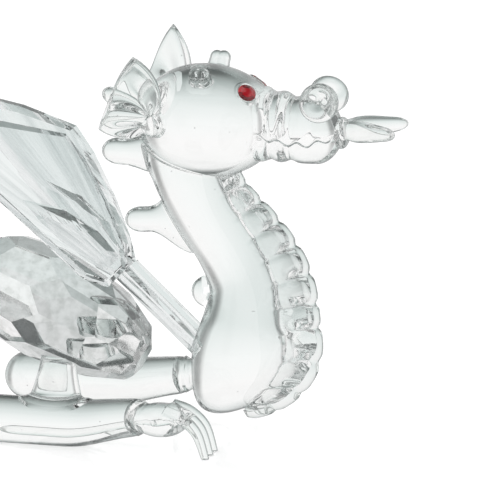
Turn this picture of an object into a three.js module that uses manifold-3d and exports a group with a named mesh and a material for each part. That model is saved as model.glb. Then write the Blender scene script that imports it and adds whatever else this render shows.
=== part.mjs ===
// A clear glass dragon figurine: lampworked head, neck, feet and trim, joined to facet-cut crystal stones.
// Millimetres, +Z up. The dragon faces +X, its right side is -Y, and it stands on the flat soles of its feet.
import * as THREE from "three";
import { ConvexGeometry } from "three/addons/geometries/ConvexGeometry.js";
import { mergeVertices } from "three/addons/utils/BufferGeometryUtils.js";
import Module from "manifold-3d";

const wasm = await Module();
wasm.setup();

// Seams
const BOND = 0.3; // clear gap at every fused or glued seam
const ROOT = 2.5; // how deep a trimming's blank reaches into its carrier before it is cut to its seat

// Head: an egg along X, cut flat in front for the muzzle
const HEAD_X = -7.4; // its widest section
const HEAD_Z = 51.2; // height of its axis
const HEAD_BACK = 11; // widest section to the back
const HEAD_FRONT = 12.4; // widest section to the front of the uncut egg
const HEAD_HIGH = 9.2; // half height
const HEAD_WIDE = 8.6; // half width
const MUZZLE_SEAT = 9.7; // widest section to the flat

// Muzzle: a blunt snout, parted into two jaws along a wavy mouth line
const MUZZLE_LONG = 12.6;
const MUZZLE_COLLAR = 0.3; // how far it stands proud of the head at the seat
const NOSE_HIGH = 5.2; // half height where the nose begins to round off
const NOSE_WIDE = 4.3; // half width there
const NOSE_DROP = 0.7; // how far its axis sinks on the way
const NOSE_ROUND = 4; // length of the rounded end
const MUZZLE_POWER = 2.4; // squareness of its section, 2 being an ellipse
const MOUTH_LOW = 1.6; // mouth line below the axis, at its lowest
const MOUTH_START = 0.16; // share of its arc that the seat cuts off
const MOUTH_RIPPLE = 0.4; // height of the tooth-like ripples
const MOUTH_RIPPLES = 4;
const CREASE_DEPTH = 0.5; // depth of the two folds round the upper jaw
const CREASES = [1.4, 4.6]; // the folds, ahead of the seat

// Tongue: two flattened tines from one root bulb
const TONGUE_LONG = 9.8;
const TONGUE_FORK = 0.7; // root of a tine to middle plane
const TONGUE_SPREAD = 4.4; // tip to middle plane
const TONGUE_HIGH = 1.8; // half height of a tine
const TONGUE_THICK = 1.2; // half thickness of a tine
const TONGUE_BULB = 2.6; // radius of the flared root
const TONGUE_TIP = 0.2; // share of a tine that rounds off
const TONGUE_SLIM = 0.75; // share of its thickness at the root
const TONGUE_SWELL = 0.3; // share of its length where it is thickest
const TONGUE_TAPER = 0.6; // share of its thickness at the tip
const TONGUE_LIFT = 1.2; // tip over the nose

// Eyes: small round stones set into sockets
const EYE_ACROSS = 3;
const EYE_AHEAD = 7.9; // ahead of the head's widest section
const EYE_TURN = 35; // degrees round the head from its top
const EYE_TABLE = 1.7; // width of the flat top facet
const EYE_CROWN = 0.35; // height over the girdle
const EYE_DEPTH = 1; // depth under the girdle
const EYE_SINK = 0.25; // girdle under the head's skin
const EYE_FACETS = 10;

// Nostrils: pressed beads with a dimple
const NOSTRIL_ACROSS = 6.4;
const NOSTRIL_THICK = 2.8;
const NOSTRIL_DIMPLE = 0.9;
const NOSTRIL_AHEAD = 9.6; // ahead of the muzzle seat
const NOSTRIL_TURN = 36; // degrees round the muzzle from its top
const NOSTRIL_PROUD = 1.6; // centre over the muzzle's skin
const NOSTRIL_RISE = 18; // degrees that its face looks up

// Ears: cupped and ribbed fans on a root bulb
const EAR_BEHIND = 6.4; // behind the head's widest section
const EAR_TURN = 86; // degrees round the head from its top
const EAR_HIGH = 13; // root to the top corner
const EAR_LONG = 8.8; // root to the back corner
const EAR_LIP = 4.6; // root to the lower lip
const EAR_SWEEP = 104; // degrees from the front rib to the lip
const EAR_FORWARD = 8; // degrees that the front rib leans forward of upright
const EAR_BOW = 45; // degrees by which the front rib bows forward at the root
const EAR_BACK = 0.7; // share of the sweep from the front rib to the back corner
const EAR_FLARE = 24; // degrees that it leans out from the head
const EAR_TILT = 16; // degrees that it leans back
const EAR_RIBS = 3;
const EAR_THICK = 2.8; // at the ribs
const EAR_VALLEY = 0.9; // between the ribs
const EAR_EDGE = 0.4; // share of the thickness left at the rim
const EAR_HOLLOW = 1.6; // depth of the hollow in the upper rim
const EAR_SCALLOP = 0.4; // depth of the hollow in the lower rim
const EAR_CUP = 1.5; // depth of the hollow
const EAR_BULB = 2; // radius of the root bulb
const EAR_PROUD = 0.7; // its middle over the head's skin

// Brow horns: short stubs of two round lobes, one behind the other
const HORN_ACROSS = 2.3; // a lobe
const HORN_APART = 1.1; // between the lobes' middles
const HORN_LONG = 3.2; // over the head
const HORN_FLARE = 1.2; // how much wider its root is
const HORN_FLARE_FROM = 0.3; // shares of its length over which it narrows
const HORN_FLARE_TO = 0.8;
const HORN_AHEAD = 0.7; // ahead of the head's widest section
const HORN_TURN = 37; // degrees round the head from its top

// Neck and chest: one S-shaped gather from the chest up into the head
const CHEST_X = -0.9; // widest section
const CHEST_Z = 14.4;
const CHEST_DEEP = 8.6; // half depth, back to front
const CHEST_WIDE = 8; // half width
const CHEST_DROP = 11.4; // widest section to the underside
const CHEST_TUCK = 4.5; // how far the underside is tucked back
const CHEST_START = 0.7; // where the sections turn level, as neckAt counts
const CHEST_END = 1.97; // the last section, as neckAt counts
const NECK_BEHIND = 3.6; // where the neck enters the head, behind its widest section
const NECK_STATIONS = [
  { climb: 0.12, sway: 1.7, deep: 7.2, wide: 7 },
  { climb: 0.27, sway: 3.3, deep: 6.1, wide: 6 },
  { climb: 0.44, sway: 2, deep: 5.4, wide: 5.3 },
  { climb: 0.59, sway: -0.4, deep: 5.3, wide: 5.2 },
  { climb: 0.76, sway: -1.6, deep: 6, wide: 5.2 },
  { climb: 0.92, sway: -1.5, deep: 6.3, wide: 4.6 },
];

// Throat crest: a ribbon down the front of the neck, crimped into low scallops
const CREST_TOP = 0.17; // where it starts and ends on the neck, as neckAt counts
const CREST_END = 1.72;
const CREST_HIGH = 5.1; // over the neck, at its tallest
const CREST_LOW = 1.9; // over the neck, at its ends
const CREST_SWELL = 0.8; // how fast it rises to its tallest, 1 being a sine
const CREST_THICK = 4.2;
const CREST_POWER = 2.6; // squareness of its section, 2 being an ellipse
const CREST_SCALLOPS = 11;
const CREST_NOTCH = 0.12; // share of the height nipped away between scallops
const CREST_PINCH = 0.4; // share of the thickness nipped away there
const CREST_SHARP = 0.13; // half width of a nip, as a share of a scallop

// Nape fins: rounded tabs, one on the head and three down the neck
const FIN_THICK = 2.4;
const FIN_ROUND = 1.3; // length of the rounded end, as a share of the half width
const FIN_FLARE_FROM = 0.6; // share of the depth in the neck where a fin starts to narrow
const FIN_FLARE_TO = 0.55; // share of its reach where it's down to its tip's width
const HEAD_FIN = { up: 8, reach: 6.6, tip: 1.4, root: 2.4, rise: 22 };
const NECK_FINS = [
  { place: 0.09, lift: 1.6, reach: 7.6, tip: 2.2, root: 3.4, rise: 0 },
  { place: 0.33, lift: 1.2, reach: 8.8, tip: 2.1, root: 5.8, rise: -5 },
  { place: 0.67, lift: 0, reach: 3.4, tip: 2.9, root: 4.2, rise: 0 },
];

// Body: an egg cut into facets, which points forward and down
const BODY_X = -34.8;
const BODY_Z = 18.3;
const BODY_BACK = 16; // middle to the back
const BODY_FRONT = 19.4; // middle to the front, before its end is ground off
const BODY_HIGH = 9.7; // its axis to the top
const BODY_UNDER = 6.6; // its axis to the underside
const BODY_WIDE = 11.4; // half width
const BODY_TILT = 24; // degrees that the front points down
const BODY_FACETS = [5, 8, 10, 10, 8, 5]; // facets in each row, from the back to the front
const BODY_BACK_END = 0.4; // depth ground off the back end
const BODY_FRONT_END = 0.9; // depth ground off the front end

// Wings: leaf-shaped stones that spread up and back from a hub over the front of the body
const HUB_AHEAD = 16.3; // ahead of the body's middle
const HUB_ASIDE = 1.8; // middle plane to a hub
const HUB_OVER = 5.7; // over the body's middle
const HUB_FLAT = 2.7; // hub to the flat root that meets the stem
const WING_SPLAY = 20; // degrees that a wing swings out, round its front edge
const WING_EDGE = 70; // degrees over level of that edge
const WING_OUTLINE = [
  { back: 1.2, up: 2.6 },
  { back: 2.1, up: 6.7 },
  { back: 4.6, up: 13.2 },
  { back: 8.2, up: 20 },
  { back: 11.4, up: 24.1 },
  { back: 21.6, up: 26.1 },
  { back: 29.5, up: 26.6 },
  { back: 33.5, up: 23.8 },
  { back: 31, up: 21.5 },
  { back: 9.4, up: 1.1 },
  { back: 4.4, up: -0.6 },
]; // its corners, from the hub
const WING_RIM = 1; // thickness at the rim
const WING_BEVEL = 1.2; // rise of the bevels along the rim, over their width
const WING_FLUTES = 6; // flat facets that fan out over the upper part
const WING_FLUTE_LOW = 38; // degrees over level of the lowest
const WING_FLUTE_STEP = 6; // degrees from one to the next
const WING_FLUTE_AT = 20; // hub to where a facet touches the smooth form
const WING_THICK = 3.4; // the smooth form along its lower side
const WING_ARCH = 0.005; // how fast it thins towards the upper rim
const WING_SPINE = 31; // degrees over level of the spine, a thick cut ridge across the lower part
const WING_SPINE_UP = 2.5; // the spine's line over the hub
const SPINE_CORNERS = [
  { back: 19.5, up: 14.2, half: 1.5 },
  { back: 11.4, up: 12.1, half: 1.6 },
  { back: 9.6, up: 10.9, half: 1.6 },
  { back: 5.9, up: 8.4, half: 1.6 },
  { back: 2.4, up: 4.5, half: 1.6 },
  { back: 14.2, up: 10.9, half: 2.4 },
  { back: 9.6, up: 8.8, half: 2.6 },
  { back: 8, up: 7.3, half: 2.6 },
  { back: 5.3, up: 4.7, half: 2.5 },
  { back: 20.2, up: 12.2, half: 0.6 },
  { back: 18.2, up: 9.8, half: 0.6 },
  { back: 9.4, up: 1.4, half: 0.6 },
  { back: 4.4, up: -0.4, half: 0.8 },
]; // its corners, from the hub, with half its thickness there

// Wing stems: eight-sided bars from the hubs down to the back of the chest
const STEM_WIDE = 3.4;
const STEM_THICK = 2.6; // at the hub
const STEM_THIN = 2.1; // at the neck
const STEM_PLACE = 1.06; // where they meet the neck, as neckAt counts

// Feet: thick rods with flat soles, each with a post, a paw and claws
const FOOT_Y = 14; // middle plane to the middle of a foot
const FOOT_HEEL = 10; // behind the body's middle
const FOOT_TOE = 22.2; // ahead of the body's middle
const FOOT_RADIUS = 3.9;
const FOOT_TOE_RADIUS = 3;
const FOOT_TOE_LIFT = 2.7; // how far the toe is raised
const FOOT_SLIM = 0.55; // share of the length after which it slims and rises
const SOLE_CUT = 0.45; // depth ground off the underside
const POST_AHEAD = 6.3; // ahead of the body's middle
const POST_LEAN = 5.7; // how far the top leans in
const POST_RAKE = 1; // how far it leans back
const POST_BASE_LONG = 4.8; // half length at the foot
const POST_BASE_WIDE = 2.8; // half width at the foot
const POST_TOP = 2.8; // half width at the body
const POST_FLARE = 1.5; // how late it widens, 1 being straight
const PAW_LONG = 4.6; // half length
const PAW_WIDE = 4;
const PAW_HIGH = 2.7;
const PAW_AHEAD = 1.8; // its middle, ahead of the toe
const PAW_OUT = 0.8; // its middle, outside the foot's
const CLAWS = 3;
const CLAW_REACH = 8.3; // past the paw's middle
const CLAW_ACROSS = 2.1; // at the root
const CLAW_TIP = 0.6; // radius of the tip
const CLAW_SLIM = 1.5; // how late it thins, 1 being evenly
const CLAW_PITCH = 2.4; // between the roots of two claws
const CLAW_SPREAD = 2; // degrees between claws
const CLAW_ROOT = { out: 0.3, up: 0.72 }; // its start, in shares of the paw's half length and half height
const CLAW_ARCH = { out: 0.92, up: 0.36 }; // where it leaves the paw, in the same shares
const CLAW_BEND = { out: 0.79, up: -0.4 }; // where it turns down, in shares of its reach and the paw's height

// Tail: a drawn rod that curls up behind the body
const TAIL_RADIUS = 3.2;
const TAIL_BACK = 13; // past the body
const TAIL_RISE = 20; // tip over the root
const TAIL_CURL = 7; // how far the tip comes forward again
const TAIL_TIP = 0.8; // radius of the tip
const TAIL_BENDS = [
  { back: 0.45, up: 0 },
  { back: 0.95, up: 0.35 },
  { back: 0.85, up: 0.8 },
]; // points it passes, in shares of how far it goes back and up

// Fineness of the curved skins
const ROUND = 24; // sides of a large section
const MIDDLE_ROUND = 18; // sides of a middling section
const SMALL_ROUND = 12; // sides of a small section
const TINY_ROUND = 8; // sides of a claw or a stem
const EGG_STEPS = 16; // rings over the head
const BEAD_STEPS = 8; // rings over a bead or a paw
const NECK_STEPS = 22; // rings down the neck
const END_STEPS = 4; // rings over a rounded end
const BLOCK = 400; // side of the blocks that cut along a plane

const clearGlass = { color: 0xe9efec, roughness: 0.04, metalness: 0 };
const cutCrystal = { color: 0xdfe8ea, roughness: 0.02, metalness: 0 };
const redStone = { color: 0x6e0d1a, roughness: 0.05, metalness: 0 };

const { degToRad, lerp, smoothstep } = THREE.MathUtils;
const vec = (x, y, z) => new THREE.Vector3(x, y, z);
const UP = vec(0, 0, 1);
const ASIDE = vec(0, 1, 0);
const AHEAD = vec(1, 0, 0);

// A solid from points and triangles, turned to face out
function solidOf(points, faces) {
  let volume = 0;
  for (const [a, b, c] of faces) {
    volume += points[a].dot(vec(0, 0, 0).crossVectors(points[b], points[c]));
  }
  const outward = volume < 0 ? ([a, b, c]) => [a, c, b] : (face) => face;
  const vertProperties = Float32Array.from(points.flatMap((point) => point.toArray()));
  const triVerts = Uint32Array.from(faces.flatMap(outward));
  return new wasm.Manifold(new wasm.Mesh({ numProp: 3, vertProperties, triVerts }));
}

// A solid from a closed three.js geometry
function solidFrom(geometry) {
  geometry.deleteAttribute("normal");
  geometry.deleteAttribute("uv");
  const merged = mergeVertices(geometry, 1e-4);
  const vertProperties = new Float32Array(merged.attributes.position.array);
  const triVerts = new Uint32Array(merged.index.array);
  return new wasm.Manifold(new wasm.Mesh({ numProp: 3, vertProperties, triVerts }));
}

// A block that holds everything past a plane
function blockPast(point, normal) {
  const block = new THREE.BoxGeometry(BLOCK, BLOCK, BLOCK).translate(0, 0, BLOCK / 2);
  block.applyQuaternion(new THREE.Quaternion().setFromUnitVectors(UP, normal));
  return solidFrom(block.translate(point.x, point.y, point.z));
}

// A closed ring of points round a middle; a power over 2 squares it off
function ring(middle, across, beside, halfAcross, halfBeside, sides, power = 2) {
  const points = [];
  for (let i = 0; i < sides; i++) {
    const angle = (2 * Math.PI * (i + 0.5)) / sides;
    const c = Math.cos(angle);
    const s = Math.sin(angle);
    const a = halfAcross * Math.sign(c) * Math.abs(c) ** (2 / power);
    const b = halfBeside * Math.sign(s) * Math.abs(s) ** (2 / power);
    points.push(middle.clone().addScaledVector(across, a).addScaledVector(beside, b));
  }
  return points;
}

// A solid skinned over rings, each end closed on the middle of its ring
function loft(rings) {
  const sides = rings[0].length;
  const points = rings.flat();
  const faces = [];
  for (let r = 0; r + 1 < rings.length; r++) {
    for (let i = 0; i < sides; i++) {
      const a = r * sides + i;
      const b = r * sides + ((i + 1) % sides);
      faces.push([a, b, b + sides], [a, b + sides, a + sides]);
    }
  }
  for (const start of [0, (rings.length - 1) * sides]) {
    const middle = vec(0, 0, 0);
    for (let i = 0; i < sides; i++) {
      middle.addScaledVector(points[start + i], 1 / sides);
    }
    points.push(middle);
    for (let i = 0; i < sides; i++) {
      const pair = [start + i, start + ((i + 1) % sides)];
      faces.push([points.length - 1, ...(start ? pair : pair.reverse())]);
    }
  }
  return solidOf(points, faces);
}

// Shares along a length, with close steps over a rounded start and a rounded end
function shares(steps, start, end) {
  const list = [];
  for (let k = 0; start && k < END_STEPS; k++) {
    list.push(start * (1 - Math.cos(((k + 0.3) / END_STEPS) * (Math.PI / 2))));
  }
  for (let k = 0; k <= steps; k++) {
    list.push(lerp(start, 1 - end, k / steps));
  }
  for (let k = END_STEPS - 1; end && k >= 0; k--) {
    list.push(1 - end * (1 - Math.cos(((k + 0.3) / END_STEPS) * (Math.PI / 2))));
  }
  return list;
}

// Share of the full thickness left at a point of a length with rounded ends
function fullness(share, start, end) {
  const gone = share < start ? (start - share) / start : Math.max(0, (share - 1 + end) / end);
  return Math.sqrt(1 - (gone || 0) ** 2);
}

// A rod along a curve; sizeAt gives its half height and half width at a share of its length
function rod(path, sizeAt, list, sides, beside = ASIDE) {
  const curve = new THREE.CatmullRomCurve3(path);
  const rings = list.map((share) => {
    const tangent = curve.getTangentAt(share);
    const across = vec(0, 0, 0).crossVectors(beside, tangent).normalize();
    const flank = vec(0, 0, 0).crossVectors(tangent, across);
    const [high, wide] = sizeAt(share);
    return ring(curve.getPointAt(share), across, flank, high, wide, sides);
  });
  return loft(rings);
}

// An egg round a middle, with its own half lengths behind and ahead
function egg(middle, back, front, high, wide, steps, sides) {
  const rings = [];
  for (let k = 0; k < steps; k++) {
    const angle = ((k + 0.5) / steps) * Math.PI;
    const along = -Math.cos(angle) * (angle < Math.PI / 2 ? back : front);
    const size = Math.sin(angle);
    rings.push(ring(middle.clone().setX(middle.x + along), UP, ASIDE, high * size, wide * size, sides));
  }
  return loft(rings);
}

// A plate fanned out from a hub; at(ray, step) gives its turn, reach, half thickness and lift
function fan(hub, level, upright, rays, steps, at) {
  const face = vec(0, 0, 0).crossVectors(level, upright).normalize();
  const points = [];
  for (const side of [1, -1]) {
    for (let ray = 0; ray < rays; ray++) {
      for (let step = 0; step < steps; step++) {
        const { turn, reach, half, lift } = at(ray, step);
        const point = hub.clone().addScaledVector(level, reach * Math.cos(turn));
        point.addScaledVector(upright, reach * Math.sin(turn));
        points.push(point.addScaledVector(face, lift + side * half));
      }
    }
  }
  const faces = [];
  const behind = rays * steps;
  const quad = (a, b, c, d) => faces.push([a, b, c], [a, c, d]);
  for (let ray = 0; ray + 1 < rays; ray++) {
    for (let step = 0; step + 1 < steps; step++) {
      const a = ray * steps + step;
      quad(a, a + 1, a + steps + 1, a + steps);
      quad(behind + a, behind + a + steps, behind + a + steps + 1, behind + a + 1);
    }
    for (const [step, flip] of [[0, false], [steps - 1, true]]) {
      const a = ray * steps + step;
      const edge = [a, a + steps, behind + a + steps, behind + a];
      quad(...(flip ? edge.reverse() : edge));
    }
  }
  for (let step = 0; step + 1 < steps; step++) {
    for (const [ray, flip] of [[0, true], [rays - 1, false]]) {
      const a = ray * steps + step;
      const edge = [a, a + 1, behind + a + 1, behind + a];
      quad(...(flip ? edge.reverse() : edge));
    }
  }
  return solidOf(points, faces);
}

// A point of the head's skin and the way that it faces, from a place along the head and a turn from its top
function headSkin(ahead, turn, side) {
  const long = ahead < 0 ? HEAD_BACK : HEAD_FRONT;
  const size = Math.sqrt(1 - (ahead / long) ** 2);
  const y = side * HEAD_WIDE * size * Math.sin(degToRad(turn));
  const z = HEAD_HIGH * size * Math.cos(degToRad(turn));
  const normal = vec(ahead / long ** 2, y / HEAD_WIDE ** 2, z / HEAD_HIGH ** 2).normalize();
  return { point: vec(HEAD_X + ahead, y, HEAD_Z + z), normal };
}

function headBlank(grow) {
  const [back, front, high, wide] = [HEAD_BACK, HEAD_FRONT, HEAD_HIGH, HEAD_WIDE].map((half) => half + grow);
  return egg(vec(HEAD_X, 0, HEAD_Z), back, front, high, wide, EGG_STEPS, ROUND);
}

// The muzzle's section at a share of its length
function muzzleAt(share) {
  const left = Math.sqrt(1 - (MUZZLE_SEAT / HEAD_FRONT) ** 2);
  const round = NOSE_ROUND / MUZZLE_LONG;
  const along = Math.min(1, share / (1 - round));
  const fold = CREASES.reduce((sum, at) => sum + Math.exp(-((share * MUZZLE_LONG - at) ** 2)), 0);
  const size = fullness(share, 0, round);
  return {
    middle: vec(HEAD_X + MUZZLE_SEAT + BOND + share * MUZZLE_LONG, 0, HEAD_Z - NOSE_DROP * along),
    high: (lerp(HEAD_HIGH * left + MUZZLE_COLLAR, NOSE_HIGH, along) - CREASE_DEPTH * fold) * size,
    wide: (lerp(HEAD_WIDE * left + MUZZLE_COLLAR, NOSE_WIDE, along) - CREASE_DEPTH * fold) * size,
  };
}

function muzzleBlank(grow) {
  const rings = shares(12, 0, NOSE_ROUND / MUZZLE_LONG).map((share) => {
    const { middle, high, wide } = muzzleAt(share);
    const out = grow * (share * 2 - 1);
    return ring(middle.setX(middle.x + out), UP, ASIDE, high + grow, wide + grow, ROUND, MUZZLE_POWER);
  });
  return loft(rings);
}

// All that lies under the mouth line, moved up or down by an offset
function underMouth(offset) {
  const steps = MOUTH_RIPPLES * 6;
  const spare = 2;
  const line = [];
  for (let k = -spare; k <= steps + spare; k++) {
    const share = k / steps;
    const { middle } = muzzleAt(Math.min(1, Math.max(0, share)));
    const dip = MOUTH_LOW * Math.sin(Math.PI * lerp(MOUTH_START, 1, share));
    const ripple = MOUTH_RIPPLE * Math.cos(2 * Math.PI * MOUTH_RIPPLES * share);
    const x = HEAD_X + MUZZLE_SEAT + share * MUZZLE_LONG;
    line.push(new THREE.Vector2(x, middle.z - dip + ripple + offset));
  }
  const corners = [line.at(-1), line[0]].map(({ x }) => new THREE.Vector2(x, HEAD_Z - BLOCK / 2));
  const outline = new THREE.Shape([...line, ...corners]);
  const block = new THREE.ExtrudeGeometry(outline, { depth: BLOCK, bevelEnabled: false });
  return solidFrom(block.rotateX(Math.PI / 2).translate(0, BLOCK / 2, 0));
}

// A round stone: table, crown and pointed back
function eyeBlank(side, grow) {
  const { point, normal } = headSkin(EYE_AHEAD, EYE_TURN, side);
  const radius = EYE_ACROSS / 2 + grow;
  point.addScaledVector(normal, -EYE_SINK);
  const profile = [
    [0, -EYE_DEPTH - grow],
    [radius, -BOND / 2],
    [radius, BOND / 2],
    [EYE_TABLE / 2 + grow, EYE_CROWN + grow],
    [0, EYE_CROWN + grow],
  ];
  const stone = new THREE.LatheGeometry(profile.map(([x, y]) => new THREE.Vector2(x, y)), EYE_FACETS);
  stone.applyQuaternion(new THREE.Quaternion().setFromUnitVectors(ASIDE, normal));
  return solidFrom(stone.translate(point.x, point.y, point.z));
}

// A pressed bead: round edge, and a dimple in the face that looks out
function nostrilBlank(side, grow) {
  const { middle, high, wide } = muzzleAt(NOSTRIL_AHEAD / MUZZLE_LONG);
  const turn = degToRad(NOSTRIL_TURN);
  const out = vec(0, side * wide * Math.sin(turn), high * Math.cos(turn));
  const centre = middle.add(out.setLength(out.length() + NOSTRIL_PROUD));
  const radius = NOSTRIL_ACROSS / 2;
  const half = NOSTRIL_THICK / 2;
  const profile = [new THREE.Vector2(0, -half - grow)];
  for (let k = -END_STEPS; k <= END_STEPS; k++) {
    const angle = ((k / END_STEPS) * Math.PI) / 2;
    const x = radius - half + (half + grow) * Math.cos(angle);
    profile.push(new THREE.Vector2(x, (half + grow) * Math.sin(angle)));
  }
  profile.push(new THREE.Vector2(0, half + grow - (grow ? 0 : NOSTRIL_DIMPLE)));
  const bead = new THREE.LatheGeometry(profile, SMALL_ROUND);
  const rise = degToRad(NOSTRIL_RISE);
  const facing = vec(0, side * Math.cos(rise), Math.sin(rise));
  bead.applyQuaternion(new THREE.Quaternion().setFromUnitVectors(ASIDE, facing));
  return solidFrom(bead.translate(centre.x, centre.y, centre.z));
}

function tongueBlank() {
  const { middle } = muzzleAt(1);
  let tongue = egg(middle, TONGUE_BULB, TONGUE_BULB / 2, TONGUE_BULB, TONGUE_BULB, BEAD_STEPS, SMALL_ROUND);
  for (const side of [-1, 1]) {
    const path = [0, 0.5, 1].map((share) => {
      const y = side * lerp(TONGUE_FORK, TONGUE_SPREAD, share);
      return middle.clone().add(vec(share * TONGUE_LONG, y, TONGUE_LIFT * lerp(0.5, 1, share)));
    });
    const sizeAt = (share) => {
      const swell = lerp(TONGUE_SLIM, 1, smoothstep(share, 0, TONGUE_SWELL));
      const taper = lerp(1, TONGUE_TAPER, smoothstep(share, TONGUE_SWELL, 1));
      const size = fullness(share, 0, TONGUE_TIP) * swell * taper;
      return [TONGUE_HIGH * size, TONGUE_THICK * size];
    };
    tongue = tongue.add(rod(path, sizeAt, shares(5, 0, TONGUE_TIP), SMALL_ROUND));
  }
  return tongue;
}

function earBlank(side) {
  const { point, normal } = headSkin(-EAR_BEHIND, EAR_TURN, side);
  const root = point.addScaledVector(normal, EAR_PROUD);
  const flare = degToRad(EAR_FLARE);
  const tilt = degToRad(EAR_TILT);
  const upright = vec(-Math.sin(tilt), side * Math.sin(flare), Math.cos(flare)).normalize();
  const level = vec(-Math.cos(flare), side * Math.sin(flare), 0);
  level.addScaledVector(upright, -level.dot(upright)).normalize();
  const rays = 6 * (EAR_RIBS - 1) + 1;
  const steps = 5;
  const plate = fan(root, level, upright, rays, steps, (ray, step) => {
    const share = ray / (rays - 1);
    const along = step / (steps - 1);
    const bow = EAR_BOW * (1 - share) ** 2 * (1 - along);
    const turn = degToRad(90 + EAR_FORWARD - EAR_SWEEP * share + bow);
    const upper = share < EAR_BACK;
    const part = upper ? share / EAR_BACK : (share - EAR_BACK) / (1 - EAR_BACK);
    const rim = upper ? lerp(EAR_HIGH, EAR_LONG, part) : lerp(EAR_LONG, EAR_LIP, part);
    const hollow = (upper ? EAR_HOLLOW : EAR_SCALLOP) * Math.sin(Math.PI * part);
    const reach = lerp(EAR_BULB / 2, rim - hollow, along);
    const rib = 0.5 + 0.5 * Math.cos(2 * Math.PI * (EAR_RIBS - 1) * share);
    const half = (lerp(EAR_VALLEY, EAR_THICK, rib) / 2) * lerp(1, EAR_EDGE, along ** 3);
    return { turn, reach, half, lift: side * EAR_CUP * Math.sin(Math.PI * share) * along };
  });
  return plate.add(egg(root, EAR_BULB, EAR_BULB, EAR_BULB, EAR_BULB, BEAD_STEPS, SMALL_ROUND));
}

function hornBlank(side) {
  const { point, normal } = headSkin(HORN_AHEAD, HORN_TURN, side);
  const end = HORN_ACROSS / 2 / (ROOT + HORN_LONG);
  const sizeAt = (share) => {
    const flare = lerp(HORN_FLARE, 1, smoothstep(share, HORN_FLARE_FROM, HORN_FLARE_TO));
    const half = (HORN_ACROSS / 2) * fullness(share, 0, end) * flare;
    return [half, half];
  };
  const [rear, front] = [-0.5, 0.5].map((place) => {
    const path = [-ROOT, (HORN_LONG - ROOT) / 2, HORN_LONG].map((up) => {
      return point.clone().addScaledVector(AHEAD, place * HORN_APART).addScaledVector(normal, up);
    });
    return rod(path, sizeAt, shares(3, 0, end), SMALL_ROUND, AHEAD);
  });
  return rear.add(front);
}

// The neck's line and its half sizes, from the head down to the chest
const neckTop = HEAD_Z - CHEST_Z;
const neckLine = NECK_STATIONS.map(({ climb, sway }) => {
  const x = lerp(CHEST_X, HEAD_X - NECK_BEHIND, climb) + sway;
  return vec(x, 0, CHEST_Z + climb * neckTop);
});
const neckPath = new THREE.CatmullRomCurve3([vec(CHEST_X, 0, CHEST_Z), ...neckLine].reverse());
const neckSizes = NECK_STATIONS.map(({ deep, wide }) => vec(deep, wide, 0));
const neckWidths = new THREE.CatmullRomCurve3([vec(CHEST_DEEP, CHEST_WIDE, 0), ...neckSizes].reverse());

// The neck's section: place 0 is inside the head, 1 the widest chest and 2 the underside
function neckAt(place) {
  if (place <= 1) {
    const tangent = neckPath.getTangent(place);
    const size = neckWidths.getPoint(place);
    const front = vec(0, 0, 0).crossVectors(tangent, ASIDE).normalize();
    front.lerp(AHEAD, smoothstep(place, CHEST_START, 1)).normalize();
    return { middle: neckPath.getPoint(place), front, deep: size.x, wide: size.y };
  }
  const angle = ((place - 1) * Math.PI) / 2;
  const drop = Math.sin(angle);
  const middle = vec(CHEST_X - CHEST_TUCK * drop ** 2, 0, CHEST_Z - CHEST_DROP * drop);
  const left = Math.cos(angle);
  return { middle, front: AHEAD.clone(), deep: CHEST_DEEP * left, wide: CHEST_WIDE * left };
}

function neckBlank(grow) {
  const rings = [];
  for (let k = 0; k <= NECK_STEPS; k++) {
    const place = (CHEST_END * k) / NECK_STEPS;
    const { middle, front, deep, wide } = neckAt(place);
    const sink = grow * Math.max(0, place - 1);
    rings.push(ring(middle.setZ(middle.z - sink), front, ASIDE, deep + grow, wide + grow, ROUND));
  }
  return loft(rings);
}

// The front line of the neck and the way that it faces
function throatAt(place) {
  const on = (where) => {
    const { middle, front, deep } = neckAt(where);
    return middle.addScaledVector(front, deep);
  };
  const near = 0.01;
  const along = on(place + near).sub(on(place - near));
  return { point: on(place), out: vec(0, 0, 0).crossVectors(along, ASIDE).normalize() };
}

function crestBlank() {
  const fine = 200;
  const lengths = [0];
  for (let k = 1; k <= fine; k++) {
    const [a, b] = [k - 1, k].map((i) => throatAt(lerp(CREST_TOP, CREST_END, i / fine)).point);
    lengths.push(lengths[k - 1] + a.distanceTo(b));
  }
  const rings = [];
  const steps = [0, CREST_SHARP, 0.5, 1 - CREST_SHARP];
  for (let k = 0; k <= CREST_SCALLOPS * steps.length; k++) {
    const step = k % steps.length;
    const share = ((k - step) / steps.length + steps[step]) / CREST_SCALLOPS;
    const nearest = lengths.findIndex((length) => length >= share * lengths[fine] - 1e-6);
    const { point, out } = throatAt(lerp(CREST_TOP, CREST_END, nearest / fine));
    const nip = Math.exp(-((Math.min(steps[step], 1 - steps[step]) / CREST_SHARP) ** 2));
    const swell = Math.sin(Math.PI * share) ** CREST_SWELL;
    const high = lerp(CREST_LOW, CREST_HIGH, swell) * (1 - CREST_NOTCH * nip);
    const thick = (CREST_THICK / 2) * (1 - CREST_PINCH * nip);
    const half = (high + ROOT) / 2;
    point.addScaledVector(out, high - half);
    rings.push(ring(point, out, ASIDE, half, thick, SMALL_ROUND, CREST_POWER));
  }
  return loft(rings);
}

// A tab that leaves a point of the back at a rise over level
function finBlank(root, { reach, tip, root: wide, rise }) {
  const away = vec(-Math.cos(degToRad(rise)), 0, Math.sin(degToRad(rise)));
  const deep = 2 * ROOT;
  const long = reach + deep;
  const path = [0, 0.5, 1].map((share) => root.clone().addScaledVector(away, share * long - deep));
  const end = (FIN_ROUND * tip) / long;
  const sizeAt = (share) => {
    const size = fullness(share, 0, end);
    const flare = 1 - smoothstep(share * long, deep * FIN_FLARE_FROM, deep + reach * FIN_FLARE_TO);
    return [lerp(tip, wide, flare) * size, (FIN_THICK / 2) * size];
  };
  return rod(path, sizeAt, shares(7, 0, end), SMALL_ROUND);
}

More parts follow.
